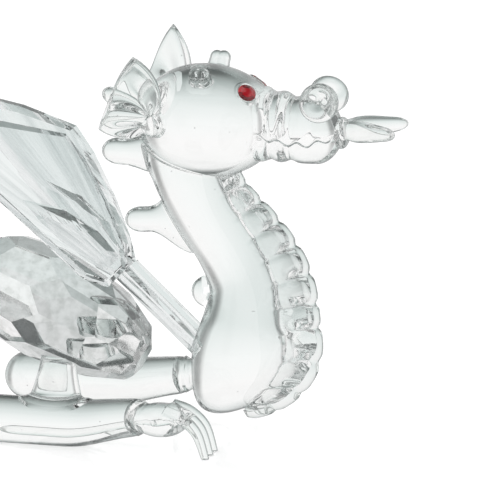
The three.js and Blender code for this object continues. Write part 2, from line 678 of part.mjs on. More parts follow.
function headFin() {
  const { point } = headSkin(-HEAD_BACK * Math.cos(degToRad(HEAD_FIN.up)), 0, 1);
  return finBlank(point, HEAD_FIN);
}

function neckFin(fin) {
  const { middle, front, deep } = neckAt(fin.place);
  return finBlank(middle.addScaledVector(front, -deep).add(vec(0, 0, fin.lift)), fin);
}

// A stone cut from a block along planes, each given by a point and the way that it faces
function cutStone(planes) {
  let stone = solidFrom(new THREE.BoxGeometry(BLOCK, BLOCK, BLOCK));
  for (const { point, way } of planes) {
    stone = stone.trimByPlane(way.clone().negate().toArray(), -point.dot(way));
  }
  return stone;
}

// Facets that touch an egg in staggered rows
function bodyBlank(grow) {
  const planes = [
    { point: vec(BODY_FRONT - BODY_FRONT_END, 0, 0), way: AHEAD.clone() },
    { point: vec(BODY_BACK_END - BODY_BACK, 0, 0), way: AHEAD.clone().negate() },
  ];
  BODY_FACETS.forEach((count, row) => {
    const angle = ((row + 0.5) / BODY_FACETS.length) * Math.PI;
    const long = angle < Math.PI / 2 ? BODY_BACK : BODY_FRONT;
    for (let k = 0; k < count; k++) {
      const turn = (2 * Math.PI * (k + (row % 2) / 2)) / count;
      const out = vec(-Math.cos(angle), Math.sin(angle) * Math.sin(turn), Math.sin(angle) * Math.cos(turn));
      const half = vec(long, BODY_WIDE, out.z < 0 ? BODY_UNDER : BODY_HIGH);
      planes.push({ point: out.clone().multiply(half), way: out.divide(half).normalize() });
    }
  });
  const tilt = new THREE.Quaternion().setFromAxisAngle(ASIDE, degToRad(BODY_TILT));
  for (const { point, way } of planes) {
    way.applyQuaternion(tilt);
    point.applyQuaternion(tilt).add(vec(BODY_X, 0, BODY_Z)).addScaledVector(way, grow);
  }
  return cutStone(planes);
}

function wingFrame(side) {
  const splay = degToRad(WING_SPLAY);
  const rise = degToRad(WING_EDGE);
  const edge = vec(-Math.cos(rise), 0, Math.sin(rise));
  const under = vec(-Math.sin(rise), 0, -Math.cos(rise)).multiplyScalar(Math.cos(splay));
  under.y = side * Math.sin(splay);
  const level = edge.clone().multiplyScalar(Math.cos(rise)).addScaledVector(under, Math.sin(rise));
  const upright = edge.clone().multiplyScalar(Math.sin(rise)).addScaledVector(under, -Math.cos(rise));
  const face = vec(0, 0, 0).crossVectors(level, upright);
  const hub = vec(BODY_X + HUB_AHEAD, side * HUB_ASIDE, BODY_Z + HUB_OVER);
  return { hub, level, upright, face };
}

// A leaf with bevelled rims, whose faces are cut into a fan of flat facets, and the ridge across it
function wingBlank(side) {
  const { hub, level, upright, face } = wingFrame(side);
  const along = (back, up, out) => {
    return level.clone().multiplyScalar(back).addScaledVector(upright, up).addScaledVector(face, out);
  };
  const planes = [];
  WING_OUTLINE.forEach((corner, k) => {
    const next = WING_OUTLINE[(k + 1) % WING_OUTLINE.length];
    const away = along(corner.up - next.up, next.back - corner.back, 0).normalize();
    const point = along(corner.back, corner.up, 0).add(hub);
    planes.push({ point, way: away });
    for (const s of [-1, 1]) {
      const way = face.clone().multiplyScalar(s).addScaledVector(away, WING_BEVEL).normalize();
      planes.push({ point: point.clone().addScaledVector(face, (s * WING_RIM) / 2), way });
    }
  });
  const spine = degToRad(WING_SPINE);
  for (let k = 0; k < WING_FLUTES; k++) {
    const turn = degToRad(WING_FLUTE_LOW + WING_FLUTE_STEP * k);
    const [back, up] = [Math.cos(turn), Math.sin(turn)].map((share) => WING_FLUTE_AT * share);
    const aside = up * Math.cos(spine) - back * Math.sin(spine) - WING_SPINE_UP;
    const slope = 2 * WING_ARCH * aside;
    const out = WING_THICK / 2 - WING_ARCH * aside ** 2;
    for (const s of [-1, 1]) {
      const way = along(-slope * Math.sin(spine), slope * Math.cos(spine), s).normalize();
      planes.push({ point: along(back, up, s * out).add(hub), way });
    }
  }
  const corners = SPINE_CORNERS.flatMap(({ back, up, half }) => {
    return [-half, half].map((out) => along(back, up, out).add(hub));
  });
  return cutStone(planes).add(solidFrom(new ConvexGeometry(corners)));
}

// A stem's line, from its seat on the flat root of the wing to a foot inside the neck
function stemLine(side) {
  const { hub } = wingFrame(side);
  const { middle, front, deep } = neckAt(STEM_PLACE);
  const foot = middle.addScaledVector(front, ROOT - deep).setY((side * STEM_WIDE) / 2);
  const way = foot.clone().sub(hub).normalize();
  return { seat: hub.addScaledVector(way, -HUB_FLAT), way, foot };
}

function stemBlank(side) {
  const { seat, way, foot } = stemLine(side);
  const start = seat.addScaledVector(way, BOND);
  const sizeAt = (share) => [STEM_WIDE / 2, lerp(STEM_THICK, STEM_THIN, share) / 2];
  return rod([start, start.clone().lerp(foot, 0.5), foot], sizeAt, [0, 0.5, 1], TINY_ROUND);
}

function footBlank(side, grow) {
  const long = FOOT_HEEL + FOOT_TOE;
  const heel = FOOT_RADIUS / long;
  const toe = FOOT_TOE_RADIUS / long;
  const rings = shares(7, heel, toe).map((share) => {
    const slim = smoothstep(share, FOOT_SLIM, 1);
    const radius = lerp(FOOT_RADIUS, FOOT_TOE_RADIUS, slim);
    const x = BODY_X + lerp(-FOOT_HEEL - grow, FOOT_TOE + grow, share);
    const middle = vec(x, side * FOOT_Y, radius - SOLE_CUT + FOOT_TOE_LIFT * slim);
    const size = radius * fullness(share, heel, toe) + grow;
    return ring(middle, UP, ASIDE, size, size, MIDDLE_ROUND);
  });
  return loft(rings);
}

// Height of the body's underside over a point of the ground
function bodyUnder(x, y) {
  const along = (x - BODY_X) / Math.cos(degToRad(BODY_TILT));
  const long = along < 0 ? BODY_BACK : BODY_FRONT;
  const left = Math.max(0, 1 - (along / long) ** 2 - (y / BODY_WIDE) ** 2);
  return BODY_Z - along * Math.sin(degToRad(BODY_TILT)) - BODY_UNDER * Math.sqrt(left);
}

// A flared post from the top of the foot up to the body
function postBlank(side) {
  const x = BODY_X + POST_AHEAD;
  const top = bodyUnder(x - POST_RAKE, FOOT_Y - POST_LEAN) + ROOT / 2;
  const base = 2 * FOOT_RADIUS - SOLE_CUT - ROOT / 2;
  const rings = [0, 0.2, 0.4, 0.6, 0.8, 1].map((share) => {
    const flare = (1 - share) ** POST_FLARE;
    const [long, wide] = [POST_BASE_LONG, POST_BASE_WIDE].map((half) => lerp(POST_TOP, half, flare));
    const y = side * (FOOT_Y - POST_LEAN * share);
    const middle = vec(x - POST_RAKE * share, y, lerp(base, top, share));
    return ring(middle, AHEAD, ASIDE, long, wide, MIDDLE_ROUND);
  });
  return loft(rings);
}

function pawMiddle(side) {
  const lift = FOOT_TOE_RADIUS - SOLE_CUT + FOOT_TOE_LIFT;
  return vec(BODY_X + FOOT_TOE + PAW_AHEAD, side * (FOOT_Y + PAW_OUT), lift);
}

function pawBlank(side, grow) {
  const long = PAW_LONG + grow;
  return egg(pawMiddle(side), long, long, PAW_HIGH + grow, PAW_WIDE + grow, BEAD_STEPS, MIDDLE_ROUND);
}

// A hook that leaves the top of the paw, arches forward and curls down to a tip ground flat with the soles
function clawBlank(side, index) {
  const middle = pawMiddle(side);
  const order = index - (CLAWS - 1) / 2;
  const turn = degToRad(CLAW_SPREAD) * order;
  const way = vec(Math.cos(turn), -side * Math.sin(turn), 0);
  const end = CLAW_TIP / CLAW_REACH;
  const path = [
    [PAW_LONG * CLAW_ROOT.out, PAW_HIGH * CLAW_ROOT.up],
    [PAW_LONG * CLAW_ARCH.out, PAW_HIGH * CLAW_ARCH.up],
    [CLAW_REACH * CLAW_BEND.out, PAW_HIGH * CLAW_BEND.up],
    [CLAW_REACH, -CLAW_TIP - middle.z],
  ].map(([out, up]) => middle.clone().addScaledVector(way, out).add(vec(0, -side * CLAW_PITCH * order, up)));
  const sizeAt = (share) => {
    const half = lerp(CLAW_ACROSS / 2, CLAW_TIP, share ** CLAW_SLIM) * fullness(share, 0, end);
    return [half, half];
  };
  const beside = vec(0, 0, 0).crossVectors(UP, way);
  return rod(path, sizeAt, shares(6, 0, end), TINY_ROUND, beside);
}

function tailBlank() {
  const tilt = degToRad(BODY_TILT);
  const end = vec(BODY_X - BODY_BACK * Math.cos(tilt), 0, BODY_Z + BODY_BACK * Math.sin(tilt));
  const round = TAIL_TIP / (TAIL_BACK + TAIL_RISE);
  const path = [
    end.clone().add(vec(2 * ROOT, 0, -ROOT * Math.sin(tilt))),
    ...TAIL_BENDS.map(({ back, up }) => end.clone().add(vec(-TAIL_BACK * back, 0, TAIL_RISE * up))),
    end.clone().add(vec(-TAIL_BACK + TAIL_CURL, 0, TAIL_RISE)),
  ];
  const sizeAt = (share) => {
    const half = lerp(TAIL_RADIUS, TAIL_TIP, share) * fullness(share, 0, round);
    return [half, half];
  };
  return rod(path, sizeAt, shares(14, 0, round), MIDDLE_ROUND);
}

const dragon = new THREE.Group();

function addPiece(name, solid, finish) {
  const mesh = solid.getMesh();
  const geometry = new THREE.BufferGeometry();
  geometry.setAttribute("position", new THREE.BufferAttribute(mesh.vertProperties, 3));
  geometry.setIndex(new THREE.BufferAttribute(mesh.triVerts, 1));
  geometry.computeVertexNormals();
  const piece = new THREE.Mesh(geometry, new THREE.MeshStandardMaterial(finish));
  piece.name = name;
  dragon.add(piece);
}

// Blanks grown by the seam, which cut the pieces that sit on them
const roundHead = headBlank(BOND);
const roundMuzzle = muzzleBlank(BOND);
const roundNeck = neckBlank(BOND);
const roundBody = bodyBlank(BOND);
const ground = blockPast(vec(0, 0, 0), UP.clone().negate());
const sides = [["right", -1], ["left", 1]];

let head = headBlank(0).subtract(blockPast(vec(HEAD_X + MUZZLE_SEAT, 0, 0), AHEAD));
let upperJaw = muzzleBlank(0).subtract(underMouth(BOND / 2));
const lowerJaw = muzzleBlank(0).intersect(underMouth(-BOND / 2));
for (const [, side] of sides) {
  head = head.subtract(eyeBlank(side, BOND));
  upperJaw = upperJaw.subtract(nostrilBlank(side, BOND));
}
addPiece("head", head, clearGlass);
addPiece("upper_jaw", upperJaw, clearGlass);
addPiece("lower_jaw", lowerJaw, clearGlass);
addPiece("tongue", tongueBlank().subtract(roundMuzzle), clearGlass);
addPiece("neck", neckBlank(0).subtract(roundHead), clearGlass);
const crest = crestBlank().subtract(roundNeck).subtract(roundHead).subtract(roundMuzzle);
addPiece("throat_crest", crest, clearGlass);
addPiece("nape_fin_1", headFin().subtract(roundHead), clearGlass);
NECK_FINS.forEach((fin, i) => {
  addPiece(`nape_fin_${i + 2}`, neckFin(fin).subtract(roundNeck).subtract(roundHead), clearGlass);
});
addPiece("body_crystal", bodyBlank(0), cutCrystal);
addPiece("tail", tailBlank().subtract(roundBody), clearGlass);

for (const [name, side] of sides) {
  const { seat, way } = stemLine(side);
  const pastMiddle = blockPast(vec(0, (side * BOND) / 2, 0), vec(0, -side, 0));
  const roundFoot = footBlank(side, BOND);
  const roundPaw = pawBlank(side, BOND);
  addPiece(`${name}_eye`, eyeBlank(side, 0), redStone);
  addPiece(`${name}_nostril`, nostrilBlank(side, 0), clearGlass);
  addPiece(`${name}_ear`, earBlank(side).subtract(roundHead), clearGlass);
  addPiece(`${name}_brow_horn`, hornBlank(side).subtract(roundHead), clearGlass);
  const wing = wingBlank(side).subtract(pastMiddle).subtract(blockPast(seat, way)).subtract(roundBody);
  addPiece(`${name}_wing`, wing, cutCrystal);
  const stem = stemBlank(side).subtract(roundNeck).subtract(roundBody);
  addPiece(`${name}_wing_stem`, stem, cutCrystal);
  addPiece(`${name}_foot`, footBlank(side, 0).subtract(ground), clearGlass);
  addPiece(`${name}_leg_post`, postBlank(side).subtract(roundFoot).subtract(roundBody), clearGlass);
  addPiece(`${name}_paw`, pawBlank(side, 0).subtract(roundFoot), clearGlass);
  for (let index = 0; index < CLAWS; index++) {
    const claw = clawBlank(side, index).subtract(roundPaw).subtract(ground);
    addPiece(`${name}_claw_${index + 1}`, claw, clearGlass);
  }
}

// The part's origin is on the ground, under the middle of the figurine
const box = new THREE.Box3().setFromObject(dragon);
const middle = box.getCenter(vec(0, 0, 0));
dragon.children.forEach((piece) => piece.position.set(-middle.x, -middle.y, -box.min.z));

export default dragon;
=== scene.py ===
"""Looks of the glass dragon figurine: fine fused glass and cut stones on a white table."""

from math import asin, cos, pi, sin, sqrt

import bpy
import numpy as np
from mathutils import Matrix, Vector
from mathutils.bvhtree import BVHTree


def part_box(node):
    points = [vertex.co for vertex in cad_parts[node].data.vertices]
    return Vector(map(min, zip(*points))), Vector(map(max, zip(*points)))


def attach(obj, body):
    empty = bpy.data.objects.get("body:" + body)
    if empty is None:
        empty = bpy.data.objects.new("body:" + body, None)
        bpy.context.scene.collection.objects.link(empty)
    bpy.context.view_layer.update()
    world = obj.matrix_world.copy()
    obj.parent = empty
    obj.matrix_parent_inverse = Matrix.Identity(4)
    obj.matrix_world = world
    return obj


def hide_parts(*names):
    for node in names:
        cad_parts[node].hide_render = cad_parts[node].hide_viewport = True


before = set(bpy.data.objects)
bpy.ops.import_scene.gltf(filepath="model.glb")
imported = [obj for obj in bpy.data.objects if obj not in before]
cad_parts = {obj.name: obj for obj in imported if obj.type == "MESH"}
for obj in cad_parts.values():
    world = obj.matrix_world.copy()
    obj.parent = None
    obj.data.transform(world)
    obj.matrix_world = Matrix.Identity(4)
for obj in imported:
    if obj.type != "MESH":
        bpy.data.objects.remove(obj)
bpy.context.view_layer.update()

# Sizes in millimetres and angles in degrees, in the modelling frame of the part's source
MM = 0.001
TINY = 1e-3

# Head, muzzle and tongue
HEAD_X, HEAD_Z = -7.4, 51.2
HEAD_BACK, HEAD_FRONT, HEAD_HIGH, HEAD_WIDE = 11.0, 12.4, 9.2, 8.6
MUZZLE_SEAT, MUZZLE_LONG, MUZZLE_COLLAR, MUZZLE_POWER = 9.7, 12.6, 0.3, 2.4
NOSE_HIGH, NOSE_WIDE, NOSE_DROP, NOSE_ROUND = 5.2, 4.3, 0.7, 4.0
MOUTH_LOW, MOUTH_START, MOUTH_RIPPLE, MOUTH_RIPPLES = 1.6, 0.16, 0.4, 4
CREASE_DEPTH, CREASES, JAW_ROOT = 0.5, (1.4, 4.6), 0.12
TONGUE_LONG, TONGUE_FORK, TONGUE_SPREAD = 9.8, 0.7, 4.4
TONGUE_HIGH, TONGUE_THICK, TONGUE_BULB = 1.8, 1.2, 2.6
TONGUE_TIP, TONGUE_SLIM, TONGUE_TAPER = 0.2, 0.75, 0.6
TONGUE_LIFT, TONGUE_START, TONGUE_SWELL = 1.2, 0.5, 0.3

# Eyes, nostrils, ears and horns
EYE_ACROSS, EYE_AHEAD, EYE_TURN, EYE_SIDES = 3.0, 7.9, 35, 12
EYE_TABLE, EYE_CROWN, EYE_DEPTH, EYE_SINK = 1.7, 0.35, 0.6, 0.3
SOCKET_LIP, SOCKET_ROUND = 1.75, 0.14
NOSTRIL_ACROSS, NOSTRIL_THICK, NOSTRIL_DIMPLE, NOSTRIL_DISH = 6.4, 2.8, 0.9, 0.9
NOSTRIL_AHEAD, NOSTRIL_TURN, NOSTRIL_PROUD, NOSTRIL_RISE = 9.6, 36, 1.6, 18
EAR_BEHIND, EAR_TURN, EAR_HIGH, EAR_LONG, EAR_LIP = 6.4, 86, 13.0, 8.8, 4.6
EAR_SWEEP, EAR_FORWARD, EAR_BOW, EAR_BACK = 104, 8, 45, 0.7
EAR_FLARE, EAR_TILT, EAR_RIBS, EAR_THICK, EAR_VALLEY = 24, 16, 3, 2.8, 0.9
EAR_EDGE, EAR_HOLLOW, EAR_SCALLOP, EAR_CUP, EAR_BULB, EAR_PROUD = 0.4, 1.6, 0.4, 1.5, 2.0, 0.7
EAR_ROUND, EAR_SIDE, EAR_THIN = 0.07, 0.03, 0.02
HORN_ACROSS, HORN_APART, HORN_LONG, HORN_AHEAD, HORN_TURN = 2.3, 1.1, 3.2, 0.7, 37
HORN_FLARE, HORN_FLARE_FROM, HORN_FLARE_TO = 1.2, 0.3, 0.8

# Neck, with a row of share, offset, depth and width for each section, and what runs along it
CHEST_X, CHEST_Z, CHEST_DEEP, CHEST_WIDE = -0.9, 14.4, 8.6, 8.0
CHEST_DROP, CHEST_TUCK, CHEST_START = 11.4, 4.5, 0.7
NECK_BEHIND, NECK_EASE = 3.6, 60
NECK_STATIONS = (
    (0.12, 1.7, 7.2, 7.0),
    (0.27, 3.3, 6.1, 6.0),
    (0.44, 2.0, 5.4, 5.3),
    (0.59, -0.4, 5.3, 5.2),
    (0.76, -1.6, 6.0, 5.2),
    (0.92, -1.5, 6.3, 4.6),
)
CREST_TOP, CREST_END, CREST_HIGH, CREST_LOW = 0.17, 1.72, 5.1, 1.9
CREST_RIM, CREST_SINK, CREST_SWELL, CREST_LEAN, CREST_HUG = 1.6, 1.5, 0.8, 0.9, 0.5
CREST_SCALLOPS, CREST_NOTCH, CREST_PINCH, CREST_SHARP = 11, 0.1, 0.32, 0.13
CREST_STATIONS, CREST_FLANK, FLANK_MOST, FLANK_EASE = 18, 0.75, 80, 200
CRIMP_NARROW, CRIMP_WIDE, CRIMP_FROM, CRIMP_TO = 0.15, 2.4, 0.15, 0.85
SEAM = 0.004
FIN_THICK, FIN_ROUND, FIN_FLARE_FROM, FIN_FLARE_TO = 2.4, 1.3, 0.6, 0.55
HEAD_FIN = dict(up=8, reach=6.6, tip=1.4, root=2.4, rise=22)
NECK_FINS = (
    dict(place=0.09, lift=1.6, reach=7.6, tip=2.2, root=3.4, rise=0),
    dict(place=0.33, lift=1.2, reach=8.8, tip=2.1, root=5.8, rise=-5),
    dict(place=0.67, lift=0.0, reach=3.4, tip=2.9, root=4.2, rise=0),
)

# Body, wing stems, feet and tail
BODY_X, BODY_Z, BODY_TILT = -34.8, 18.3, 24
BODY_BACK, BODY_FRONT, BODY_UNDER, BODY_WIDE = 16.0, 19.4, 6.6, 11.4
HUB_AHEAD, HUB_ASIDE, HUB_OVER, HUB_FLAT = 16.3, 1.8, 5.7, 2.7
STEM_WIDE, STEM_THICK, STEM_THIN, STEM_PLACE, STEM_TOUCH = 3.4, 2.6, 2.1, 1.06, 0.02
FOOT_Y, FOOT_HEEL, FOOT_TOE, FOOT_RADIUS = 14.0, 10.0, 22.2, 3.9
FOOT_TOE_RADIUS, FOOT_TOE_LIFT, FOOT_SLIM, SOLE_CUT = 3.0, 2.7, 0.55, 0.45
POST_AHEAD, POST_LEAN, POST_RAKE, POST_BASE_LONG, POST_BASE_WIDE = 6.3, 5.7, 1.0, 4.8, 2.8
POST_TOP, POST_FLARE = 2.8, 1.5
PAW_LONG, PAW_WIDE, PAW_HIGH, PAW_AHEAD, PAW_OUT = 4.6, 4.0, 2.7, 1.8, 0.8
CLAWS, CLAW_REACH, CLAW_ACROSS, CLAW_TIP, CLAW_PITCH, CLAW_SPREAD = 3, 8.3, 2.1, 0.6, 2.4, 2
CLAW_ROOT, CLAW_ARCH, CLAW_DROP, CLAW_SLIM = (0.3, 0.72), (0.92, 0.36), (0.79, -0.4), 1.5
TAIL_RADIUS, TAIL_BACK, TAIL_RISE, TAIL_CURL, TAIL_TIP = 3.2, 13.0, 20.0, 7.0, 0.8
TAIL_BENDS = ((0.45, 0), (0.95, 0.35), (0.85, 0.8))

# Seams: the gap between solids, how deep a root goes, and the fillets where glass is fused
BOND, ROOT = 0.3, 2.5
FILLET_NECK, FILLET_SOCKET, FILLET_FIN, FILLET_HORN, FILLET_EAR = 0.3, 0.3, 0.4, 0.5, 0.7
FILLET_POST, FILLET_PAW, FILLET_CLAW = 0.8, 0.6, 0.4
FILLET_DEEP, FILLET_PUSH, MASK_REACH = 1.6, 0.8, 1.0

# The part's frame lies this far along X from the modelling frame: the head ends at the muzzle's seat
SHIFT_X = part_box("head")[1][0] / MM - (HEAD_X + MUZZLE_SEAT)

UP = np.array((0.0, 0.0, 1.0))
ASIDE = np.array((0.0, 1.0, 0.0))
AHEAD = np.array((1.0, 0.0, 0.0))
SIDES = (("right", -1), ("left", 1))


def rad(degrees):
    return degrees * pi / 180


def lerp(a, b, t):
    return a + (b - a) * t


def smooth(t, low, high):
    s = np.clip((np.asarray(t, float) - low) / (high - low), 0, 1)
    return s * s * (3 - 2 * s)


def unit(v):
    v = np.asarray(v, float)
    return v / np.linalg.norm(v, axis=-1, keepdims=True)


def hermite(start, end, leave, arrive, w):
    """Points between a start and an end, with the slopes at both."""
    square = 3 * (end - start) - 2 * leave - arrive
    cube = 2 * (start - end) + leave + arrive
    return start + leave * w + square * w ** 2 + cube * w ** 3


def lengths(points):
    """The length along a row of points, from the first to each of them."""
    return np.concatenate([[0], np.cumsum(np.linalg.norm(np.diff(points, axis=0), axis=1))])


def ease(values, rounds):
    """Smooths a row of values in place, with its two ends kept."""
    for _ in range(rounds):
        values[1:-1] = (values[:-2] + 2 * values[1:-1] + values[2:]) / 4
    return values


class Curve:
    """A centripetal spline through points, walked by control point or by length."""

    def __init__(self, points):
        self.points = np.asarray(points, float)
        self.fine = np.linspace(0, 1, 801)
        self.length = lengths(self.at(self.fine))

    def at(self, t):
        p = self.points
        last = len(p) - 1
        where = np.clip(np.asarray(t, float), 0, 1) * last
        index = np.minimum(where.astype(int), last - 1)
        w = (where - index)[..., None]
        padded = np.concatenate([[2 * p[0] - p[1]], p, [2 * p[-1] - p[-2]]])
        p0, p1, p2, p3 = (padded[index + k] for k in range(4))
        pairs = ((p0, p1), (p1, p2), (p2, p3))
        gap = [np.linalg.norm(b - a, axis=-1, keepdims=True) ** 0.5 for a, b in pairs]
        t1 = ((p1 - p0) / gap[0] - (p2 - p0) / (gap[0] + gap[1]) + (p2 - p1) / gap[1]) * gap[1]
        t2 = ((p2 - p1) / gap[1] - (p3 - p1) / (gap[1] + gap[2]) + (p3 - p2) / gap[2]) * gap[1]
        return hermite(p1, p2, t1, t2, w)

    def tangent(self, t):
        near = 1e-4
        t = np.asarray(t, float)
        return unit(self.at(np.clip(t + near, 0, 1)) - self.at(np.clip(t - near, 0, 1)))

    def by_length(self, share):
        return np.interp(np.asarray(share) * self.length[-1], self.length, self.fine)


def shares(steps, start, end, end_steps=10):
    """Shares along a length, with close steps over a rounded start and a rounded end."""
    first = 0.15
    bend = 1 - np.cos((np.arange(end_steps) + first) / end_steps * pi / 2)
    parts = [np.linspace(start, 1 - end, steps + 1)]
    if start:
        parts.insert(0, start * bend)
    if end:
        parts.append((1 - end * bend)[::-1])
    return np.concatenate(parts)


def fullness(share, start, end):
    """The size along a length with a rounded start and end, as a share of the whole."""
    share = np.asarray(share, float)
    gone = np.zeros_like(share)
    if start:
        gone = np.maximum(gone, (start - share) / start)
    if end:
        gone = np.maximum(gone, (share - 1 + end) / end)
    return np.sqrt(np.clip(1 - gone ** 2, 0, 1))


def sweep(middle, across, beside, half_across, half_beside, sides):
    """Rings of points round a row of middles."""
    angle = 2 * pi * (np.arange(sides) + 0.5) / sides
    count = len(middle)
    across = np.broadcast_to(across, (count, 3))
    beside = np.broadcast_to(beside, (count, 3))
    high = np.asarray(half_across, float).reshape(-1, 1) * np.cos(angle)
    wide = np.asarray(half_beside, float).reshape(-1, 1) * np.sin(angle)
    return middle[:, None] + high[..., None] * across[:, None] + wide[..., None] * beside[:, None]


def skin(rings):
    """Points and faces of a closed skin over rings."""
    count, sides = rings.shape[:2]
    points = np.concatenate([rings.reshape(-1, 3), rings[:1].mean(1), rings[-1:].mean(1)])
    faces = []
    for r in range(count - 1):
        for i in range(sides):
            j = (i + 1) % sides
            a, b = r * sides, (r + 1) * sides
            faces.append((a + i, a + j, b + j, b + i))
    low, high = count * sides, count * sides + 1
    for i in range(sides):
        j = (i + 1) % sides
        faces.append((low, j, i))
        faces.append((high, (count - 1) * sides + i, (count - 1) * sides + j))
    return points, faces


def egg(middle, back, front, high, wide, steps, sides):
    """An egg along X, with a shorter and a longer end."""
    angle = (np.arange(steps) + 0.5) / steps * pi
    along = -np.cos(angle) * np.where(angle < pi / 2, back, front)
    middles = np.asarray(middle, float) + along[:, None] * AHEAD
    return skin(sweep(middles, UP, ASIDE, high * np.sin(angle), wide * np.sin(angle), sides))


def rod(path, size_at, share, sides, beside=ASIDE):
    """A closed rod along a path, with its half sizes given by share of the length."""
    curve = Curve(path)
    t = curve.by_length(share)
    tangent = curve.tangent(t)
    across = unit(np.cross(np.broadcast_to(beside, tangent.shape), tangent))
    flank = np.cross(tangent, across)
    high, wide = size_at(share)
    return skin(sweep(curve.at(t), across, flank, high, wide, sides))


def lathe(profile, sides, origin, axis):
    """A body turned round an axis from (radius, height) pairs."""
    axis = unit(axis)
    first = unit(np.cross(axis, UP if abs(axis[2]) < 0.9 else AHEAD))
    second = np.cross(axis, first)
    profile = np.asarray(profile, float)
    middles = np.asarray(origin, float) + profile[:, 1:] * axis
    return skin(sweep(middles, first, second, profile[:, 0], profile[:, 0], sides))


def fan(hub, level, upright, turn, reach, half, lift):
    """A plate fanned out from a hub, from grids of turn, reach, half thickness and lift."""
    face = unit(np.cross(level, upright))
    rays, steps = turn.shape
    flat = hub + (reach * np.cos(turn))[..., None] * level + (reach * np.sin(turn))[..., None] * upright
    sheets = [flat + (lift + s * half)[..., None] * face for s in (1, -1)]
    points = np.concatenate([sheet.reshape(-1, 3) for sheet in sheets])
    behind = rays * steps
    faces = []
    for ray in range(rays - 1):
        for step in range(steps - 1):
            a = ray * steps + step
            faces.append((a, a + 1, a + steps + 1, a + steps))
            faces.append((behind + a, behind + a + steps, behind + a + steps + 1, behind + a + 1))
        a, b = ray * steps, ray * steps + steps - 1
        faces.append((a, a + steps, behind + a + steps, behind + a))
        faces.append((behind + b, behind + b + steps, b + steps, b))
    last = (rays - 1) * steps
    for step in range(steps - 1):
        faces.append((behind + step, behind + step + 1, step + 1, step))
        a = last + step
        faces.append((a, a + 1, behind + a + 1, behind + a))
    return points, faces


def outward(points, faces):
    """The same faces, turned to face out."""
    volume = 0.0
    for face in faces:
        a = points[face[0]]
        for k in range(1, len(face) - 1):
            volume += np.dot(a, np.cross(points[face[k]], points[face[k + 1]]))
    return faces if volume > 0 else [tuple(reversed(face)) for face in faces]


# Shapes


def head_skin(ahead, turn, side):
    """A point on the head and the way out of it there."""
    long = HEAD_BACK if ahead < 0 else HEAD_FRONT
    size = sqrt(1 - (ahead / long) ** 2)
    y = side * HEAD_WIDE * size * sin(rad(turn))
    z = HEAD_HIGH * size * cos(rad(turn))
    normal = unit((ahead / long ** 2, y / HEAD_WIDE ** 2, z / HEAD_HIGH ** 2))
    return np.array((HEAD_X + ahead, y, HEAD_Z + z)), normal


def head():
    return egg((HEAD_X, 0, HEAD_Z), HEAD_BACK, HEAD_FRONT, HEAD_HIGH, HEAD_WIDE, steps=120, sides=144)


def muzzle_at(share):
    """The muzzle's section: its place along X and Z, and its half height and width."""
    share = np.asarray(share, float)
    left = sqrt(1 - (MUZZLE_SEAT / HEAD_FRONT) ** 2)
    end = NOSE_ROUND / MUZZLE_LONG
    along = np.minimum(1, share / (1 - end))
    fold = sum(np.exp(-((share * MUZZLE_LONG - at) ** 2)) for at in CREASES)
    size = fullness(share, 0, end)
    x = HEAD_X + MUZZLE_SEAT + BOND + share * MUZZLE_LONG
    z = HEAD_Z - NOSE_DROP * along
    high = (lerp(HEAD_HIGH * left + MUZZLE_COLLAR, NOSE_HIGH, along) - CREASE_DEPTH * fold) * size
    wide = (lerp(HEAD_WIDE * left + MUZZLE_COLLAR, NOSE_WIDE, along) - CREASE_DEPTH * fold) * size
    return x, z, high, wide


def mouth_height(share):
    dip = MOUTH_LOW * np.sin(pi * lerp(MOUTH_START, 1, share))
    ripple = MOUTH_RIPPLE * np.cos(2 * pi * MOUTH_RIPPLES * share)
    return muzzle_at(np.clip(share, 0, 1))[1] - dip + ripple


def jaw(upper):
    """The part of the muzzle over or under the mouth line."""
    root = np.linspace(-JAW_ROOT, 0, 8)[:-1]
    share = np.concatenate([root, shares(90, 0, NOSE_ROUND / MUZZLE_LONG, end_steps=16)])
    x, z, high, wide = muzzle_at(np.maximum(share, 0))
    x = x + np.minimum(share, 0) * MUZZLE_LONG
    line = mouth_height(np.maximum(share, 0)) + (BOND / 2 if upper else -BOND / 2)
    arc, chord, most = 72, 24, 0.98
    rings = []
    for k in range(len(share)):
        cut = np.clip((line[k] - z[k]) / max(high[k], 1e-6), -most, most)
        start = asin(np.sign(cut) * abs(cut) ** (MUZZLE_POWER / 2))
        ends = (start, pi - start) if upper else (-pi - start, start)
        angle = np.linspace(*ends, arc)
        c, s = np.cos(angle), np.sin(angle)
        y = wide[k] * np.sign(c) * np.abs(c) ** (2 / MUZZLE_POWER)
        up = z[k] + high[k] * np.sign(s) * np.abs(s) ** (2 / MUZZLE_POWER)
        flat = np.linspace(0, 1, chord + 2)[1:-1]
        y = np.concatenate([y, lerp(y[-1], y[0], flat)])
        up = np.concatenate([up, lerp(up[-1], up[0], flat)])
        rings.append(np.stack([np.full_like(y, x[k]), y, up], 1))
    return skin(np.array(rings))


def eye(side):
    """A cut stone: two rings of its back, then three of its crown."""
    point, normal = head_skin(EYE_AHEAD, EYE_TURN, side)
    radius = EYE_ACROSS / 2
    back = [(TINY, -EYE_DEPTH), (radius, -BOND / 2)]
    crown = [(radius, BOND / 2), (EYE_TABLE / 2, EYE_CROWN), (TINY, EYE_CROWN)]
    return lathe(back + crown, EYE_SIDES, point - normal * EYE_SINK, normal)


